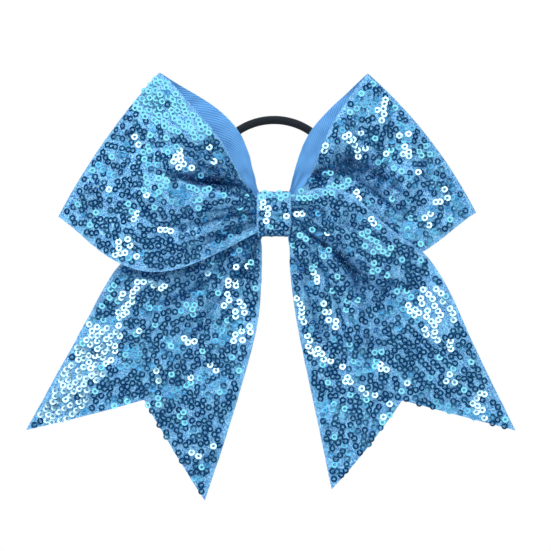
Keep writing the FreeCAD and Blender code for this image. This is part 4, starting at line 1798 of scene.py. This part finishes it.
@dataclass
class Bow:
    """The whole bow: the ribbon's four stretches with their sequins, the knot and the hair tie.

    blend_reach is in millimetres.
    """

    materials: Materials
    blend_reach: float = 13.0
    loop_grid: tuple[int, int] = (200, 124)
    tail_grid: tuple[int, int] = (180, 120)

    def layers(self, ribbon: Ribbon, name: str, material: Material, grid: tuple[int, int]) -> list[Piece]:
        """A stretch's grosgrain, its sequin fabric and its sequins.

        Args:
            ribbon: The stretch.
            name: What the names of its pieces start with.
            material: The grosgrain's material.
            grid: The numbers of points along and across.

        Returns:
            The three pieces, from the inside out.
        """
        half = GROSGRAIN_THICKNESS / 2.0
        near = half + FABRIC_GAP
        grosgrain = ribbon.layer(name + "_ribbon", material, -half, half, grid)
        fabric = ribbon.layer(name + "_fabric", self.materials.fabric, near, near + FABRIC_THICKNESS, grid)
        rings = Sequins(self.materials, PATCHES).on_ribbon(name + "_sequins", ribbon)
        return [grosgrain, fabric, rings]

    def declare(
        self, pieces: list[Piece], nodes: Sequence[str], length: float
    ) -> None:
        """Hides the frame's nodes that the layers of a stretch replace, and logs how many millimetres of
        ribbon it has.

        Args:
            pieces: The grosgrain, the fabric and the sequins.
            nodes: The names of the stretch's nodes, without their layer.
            length: Millimetres of ribbon.
        """
        grosgrain, fabric, rings = pieces
        for kind, piece in (("grosgrain", grosgrain), ("sequin_fabric", fabric)):
            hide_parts(*(f"{node}_{kind}" for node in nodes))
        LOG.info("%s: %.0f mm of ribbon", nodes[-1], length)

    def loop(self, loop: Loop, ribbon_material: Material) -> None:
        """A loop, which rides with the knot.

        Args:
            loop: Its shape.
            ribbon_material: The grosgrain's material.
        """
        name = loop.side.word + "_loop"
        pieces = self.layers(loop, name, ribbon_material, self.loop_grid)
        for piece in pieces:
            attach(piece, "bow")
        self.declare(pieces, (name + "_back", name + "_front"), loop.length)

    def tail(self, tail: Tail, ribbon_material: Material) -> None:
        """A tail, whose pieces have their placement baked into their meshes.

        Args:
            tail: Its shape.
            ribbon_material: The grosgrain's material.
        """
        body = tail.side.word + "_tail"
        pieces = self.layers(tail, body, ribbon_material, self.tail_grid)
        joint = next(j for j in frame["joints"] if j["child"] == body)
        middle, axis = np.array(joint["pos_m"]), np.array(joint["axis"])
        down = unit(np.cross(axis, [0.0, 1.0, 0.0]))
        down = down * (-1.0 if down[2] > 0.0 else 1.0) * self.blend_reach * METRES_PER_MM
        for piece in pieces:
            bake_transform(piece)
        self.declare(pieces, (body + "_head", body), tail.length)

    def dress_hidden(self) -> None:
        """Gives the frame's own pieces inside the knot their finishes."""
        m = self.materials
        finishes = {
            "over_gather": m.fabric,
            "under_gather": m.fabric,
            "back_gather": m.fabric,
            "cable_tie": m.nylon,
            "knot_glue": m.glue,
            "hair_tie_rubber": m.latex,
            "hair_tie_join": m.latex,
        }
        for node, material in finishes.items():
            mesh = frame["nodes"][node].data
            mesh.materials.clear()
            mesh.materials.append(material)

    def build(self) -> None:
        """Builds every piece."""
        KnotWrap(self.materials).build(Sequins(self.materials, KNOT_PATCHES))
        self.loop(left_loop(), self.materials.left_ribbon)
        self.loop(right_loop(), self.materials.right_ribbon)
        self.tail(left_tail(), self.materials.left_ribbon)
        self.tail(right_tail(), self.materials.right_ribbon)
        HairTie(self.materials).build()
        self.dress_hidden()


# ---------------------------------------------------------------- studio


@dataclass
class Softbox:
    """A square area light, by the direction it comes from and its distance from the bow, in metres."""

    name: str
    towards: Point
    distance: float
    size: float
    power: float
    mirrored: bool = False
    colour: str = "#ffffff"

    def build(self, aim: Array) -> Piece:
        """The light, turned to face the bow.

        Args:
            aim: The point that it faces.

        Returns:
            The light.
        """
        data = bpy.data.lights.new(self.name, "AREA")
        data.shape = "SQUARE"
        data.size = self.size
        data.energy = self.power
        data.color = linear(self.colour)[:3]
        light = bpy.data.objects.new(self.name, data)
        light.visible_glossy = self.mirrored
        bpy.context.scene.collection.objects.link(light)
        way = unit(np.array(self.towards))
        light.location = aim + way * self.distance
        aim_at(light, -way)
        return light


def aim_at(thing: Piece, direction: Array) -> None:
    """Turns a light or a camera to look along a direction, upright."""
    thing.rotation_mode = "QUATERNION"
    thing.rotation_quaternion = mathutils.Vector(direction).to_track_quat("-Z", "Y")


@dataclass
class Studio:
    """A plain pale studio: a floor, soft lights and a long lens straight in front."""

    frame_width: float = 0.2176
    view: Point = (0.0006, -0.012, -0.0241)
    camera_distance: float = 1.6
    sensor: float = 36.0
    aim: Point = (0.0, -0.01, -0.02)
    room_colour: str = "#5a80a4"
    room_strength: float = 0.58
    floor_drop: float = 0.13
    floor_radius: float = 1.2
    floor_glow: float = 0.35

    def build(self) -> None:
        """The camera, lights, world and floor."""
        self.camera()
        bpy.context.scene.view_settings.view_transform = "Standard"
        for box in (
            Softbox("key", KEY_DIRECTION, 0.9, 0.3, 0.65, mirrored=True),
            Softbox("panel", PANEL_DIRECTION, 0.9, 0.6, 1.3, mirrored=True),
            Softbox("front_fill", (-0.35, -0.80, 0.50), 0.9, 0.5, 2.6),
            Softbox("top", (-0.10, -0.35, 0.93), 0.8, 0.45, 6.5),
            Softbox("left", (-0.9, -0.55, 0.2), 0.9, 0.7, 0.8),
            Softbox("right", (0.95, -0.45, 0.1), 0.9, 0.7, 0.4),
            Softbox("below", (0.0, -0.7, -0.7), 0.9, 0.7, 0.12),
            Softbox("back_key", (-0.22, 0.80, 0.55), 0.9, 0.3, 0.65, mirrored=True),
            Softbox("back_panel", (0.30, 0.78, 0.55), 0.9, 0.6, 1.3, mirrored=True),
            Softbox("back_fill", (0.35, 0.80, 0.50), 0.9, 0.5, 3.5),
        ):
            box.build(np.array(self.aim))
        self.world()
        self.floor()

    def camera(self) -> None:
        """A long lens at the bow's height, square on, which takes in frame_width at the bow."""
        data = bpy.data.cameras.new("front_camera")
        data.sensor_width = self.sensor
        data.lens = self.sensor * self.camera_distance / self.frame_width
        data.clip_end = 20.0
        camera = bpy.data.objects.new("front_camera", data)
        bpy.context.scene.collection.objects.link(camera)
        camera.location = (self.view[0], self.view[1] - self.camera_distance, self.view[2])
        aim_at(camera, np.array([0.0, 1.0, 0.0]))
        bpy.context.scene.camera = camera

    def world(self) -> None:
        """A white room to the camera, and a dim blue-grey one to the bow, which the sequins mirror."""
        world = bpy.data.worlds.new("studio_world")
        world.use_nodes = True
        tree = world.node_tree
        tree.nodes.clear()
        path = add_node(tree, "ShaderNodeLightPath").outputs["Is Camera Ray"]
        white = add_node(tree, "ShaderNodeBackground", {"Color": (1.0, 1.0, 1.0, 1.0), "Strength": 1.0})
        room = {"Color": linear(self.room_colour), "Strength": self.room_strength}
        dim = add_node(tree, "ShaderNodeBackground", room)
        mixed = add_node(tree, "ShaderNodeMixShader", {0: path, 1: dim.outputs[0], 2: white.outputs[0]})
        add_node(tree, "ShaderNodeOutputWorld", {"Surface": mixed.outputs[0]})
        bpy.context.scene.world = world

    def floor(self) -> None:
        """A round pale floor below the tails."""
        segments = 64
        angle = np.arange(segments) * math.tau / segments
        z = CAD_BOX[0].z - self.floor_drop
        points = np.stack([np.cos(angle), np.sin(angle), np.zeros(segments)], -1) * self.floor_radius
        mesh = bpy.data.meshes.new("floor")
        mesh.from_pydata((points + [0.0, 0.0, z]).tolist(), [], [list(range(segments))])
        paint = bpy.data.materials.new("pale_floor")
        paint.use_nodes = True
        shader = paint.node_tree.nodes["Principled BSDF"]
        shader.inputs["Base Color"].default_value = linear("#f4f4f2")
        shader.inputs["Roughness"].default_value = 0.9
        shader.inputs["Emission Color"].default_value = (1.0, 1.0, 1.0, 1.0)
        shader.inputs["Emission Strength"].default_value = self.floor_glow
        mesh.materials.append(paint)
        floor = bpy.data.objects.new("floor", mesh)
        floor.visible_glossy = False
        bpy.context.scene.collection.objects.link(floor)


def main() -> None:
    """Builds the studio and the bow."""
    logging.basicConfig(level=logging.INFO, format="%(name)s: %(message)s")
    Studio().build()
    Bow(Materials.make()).build()


if __name__ == "__main__":
    main()
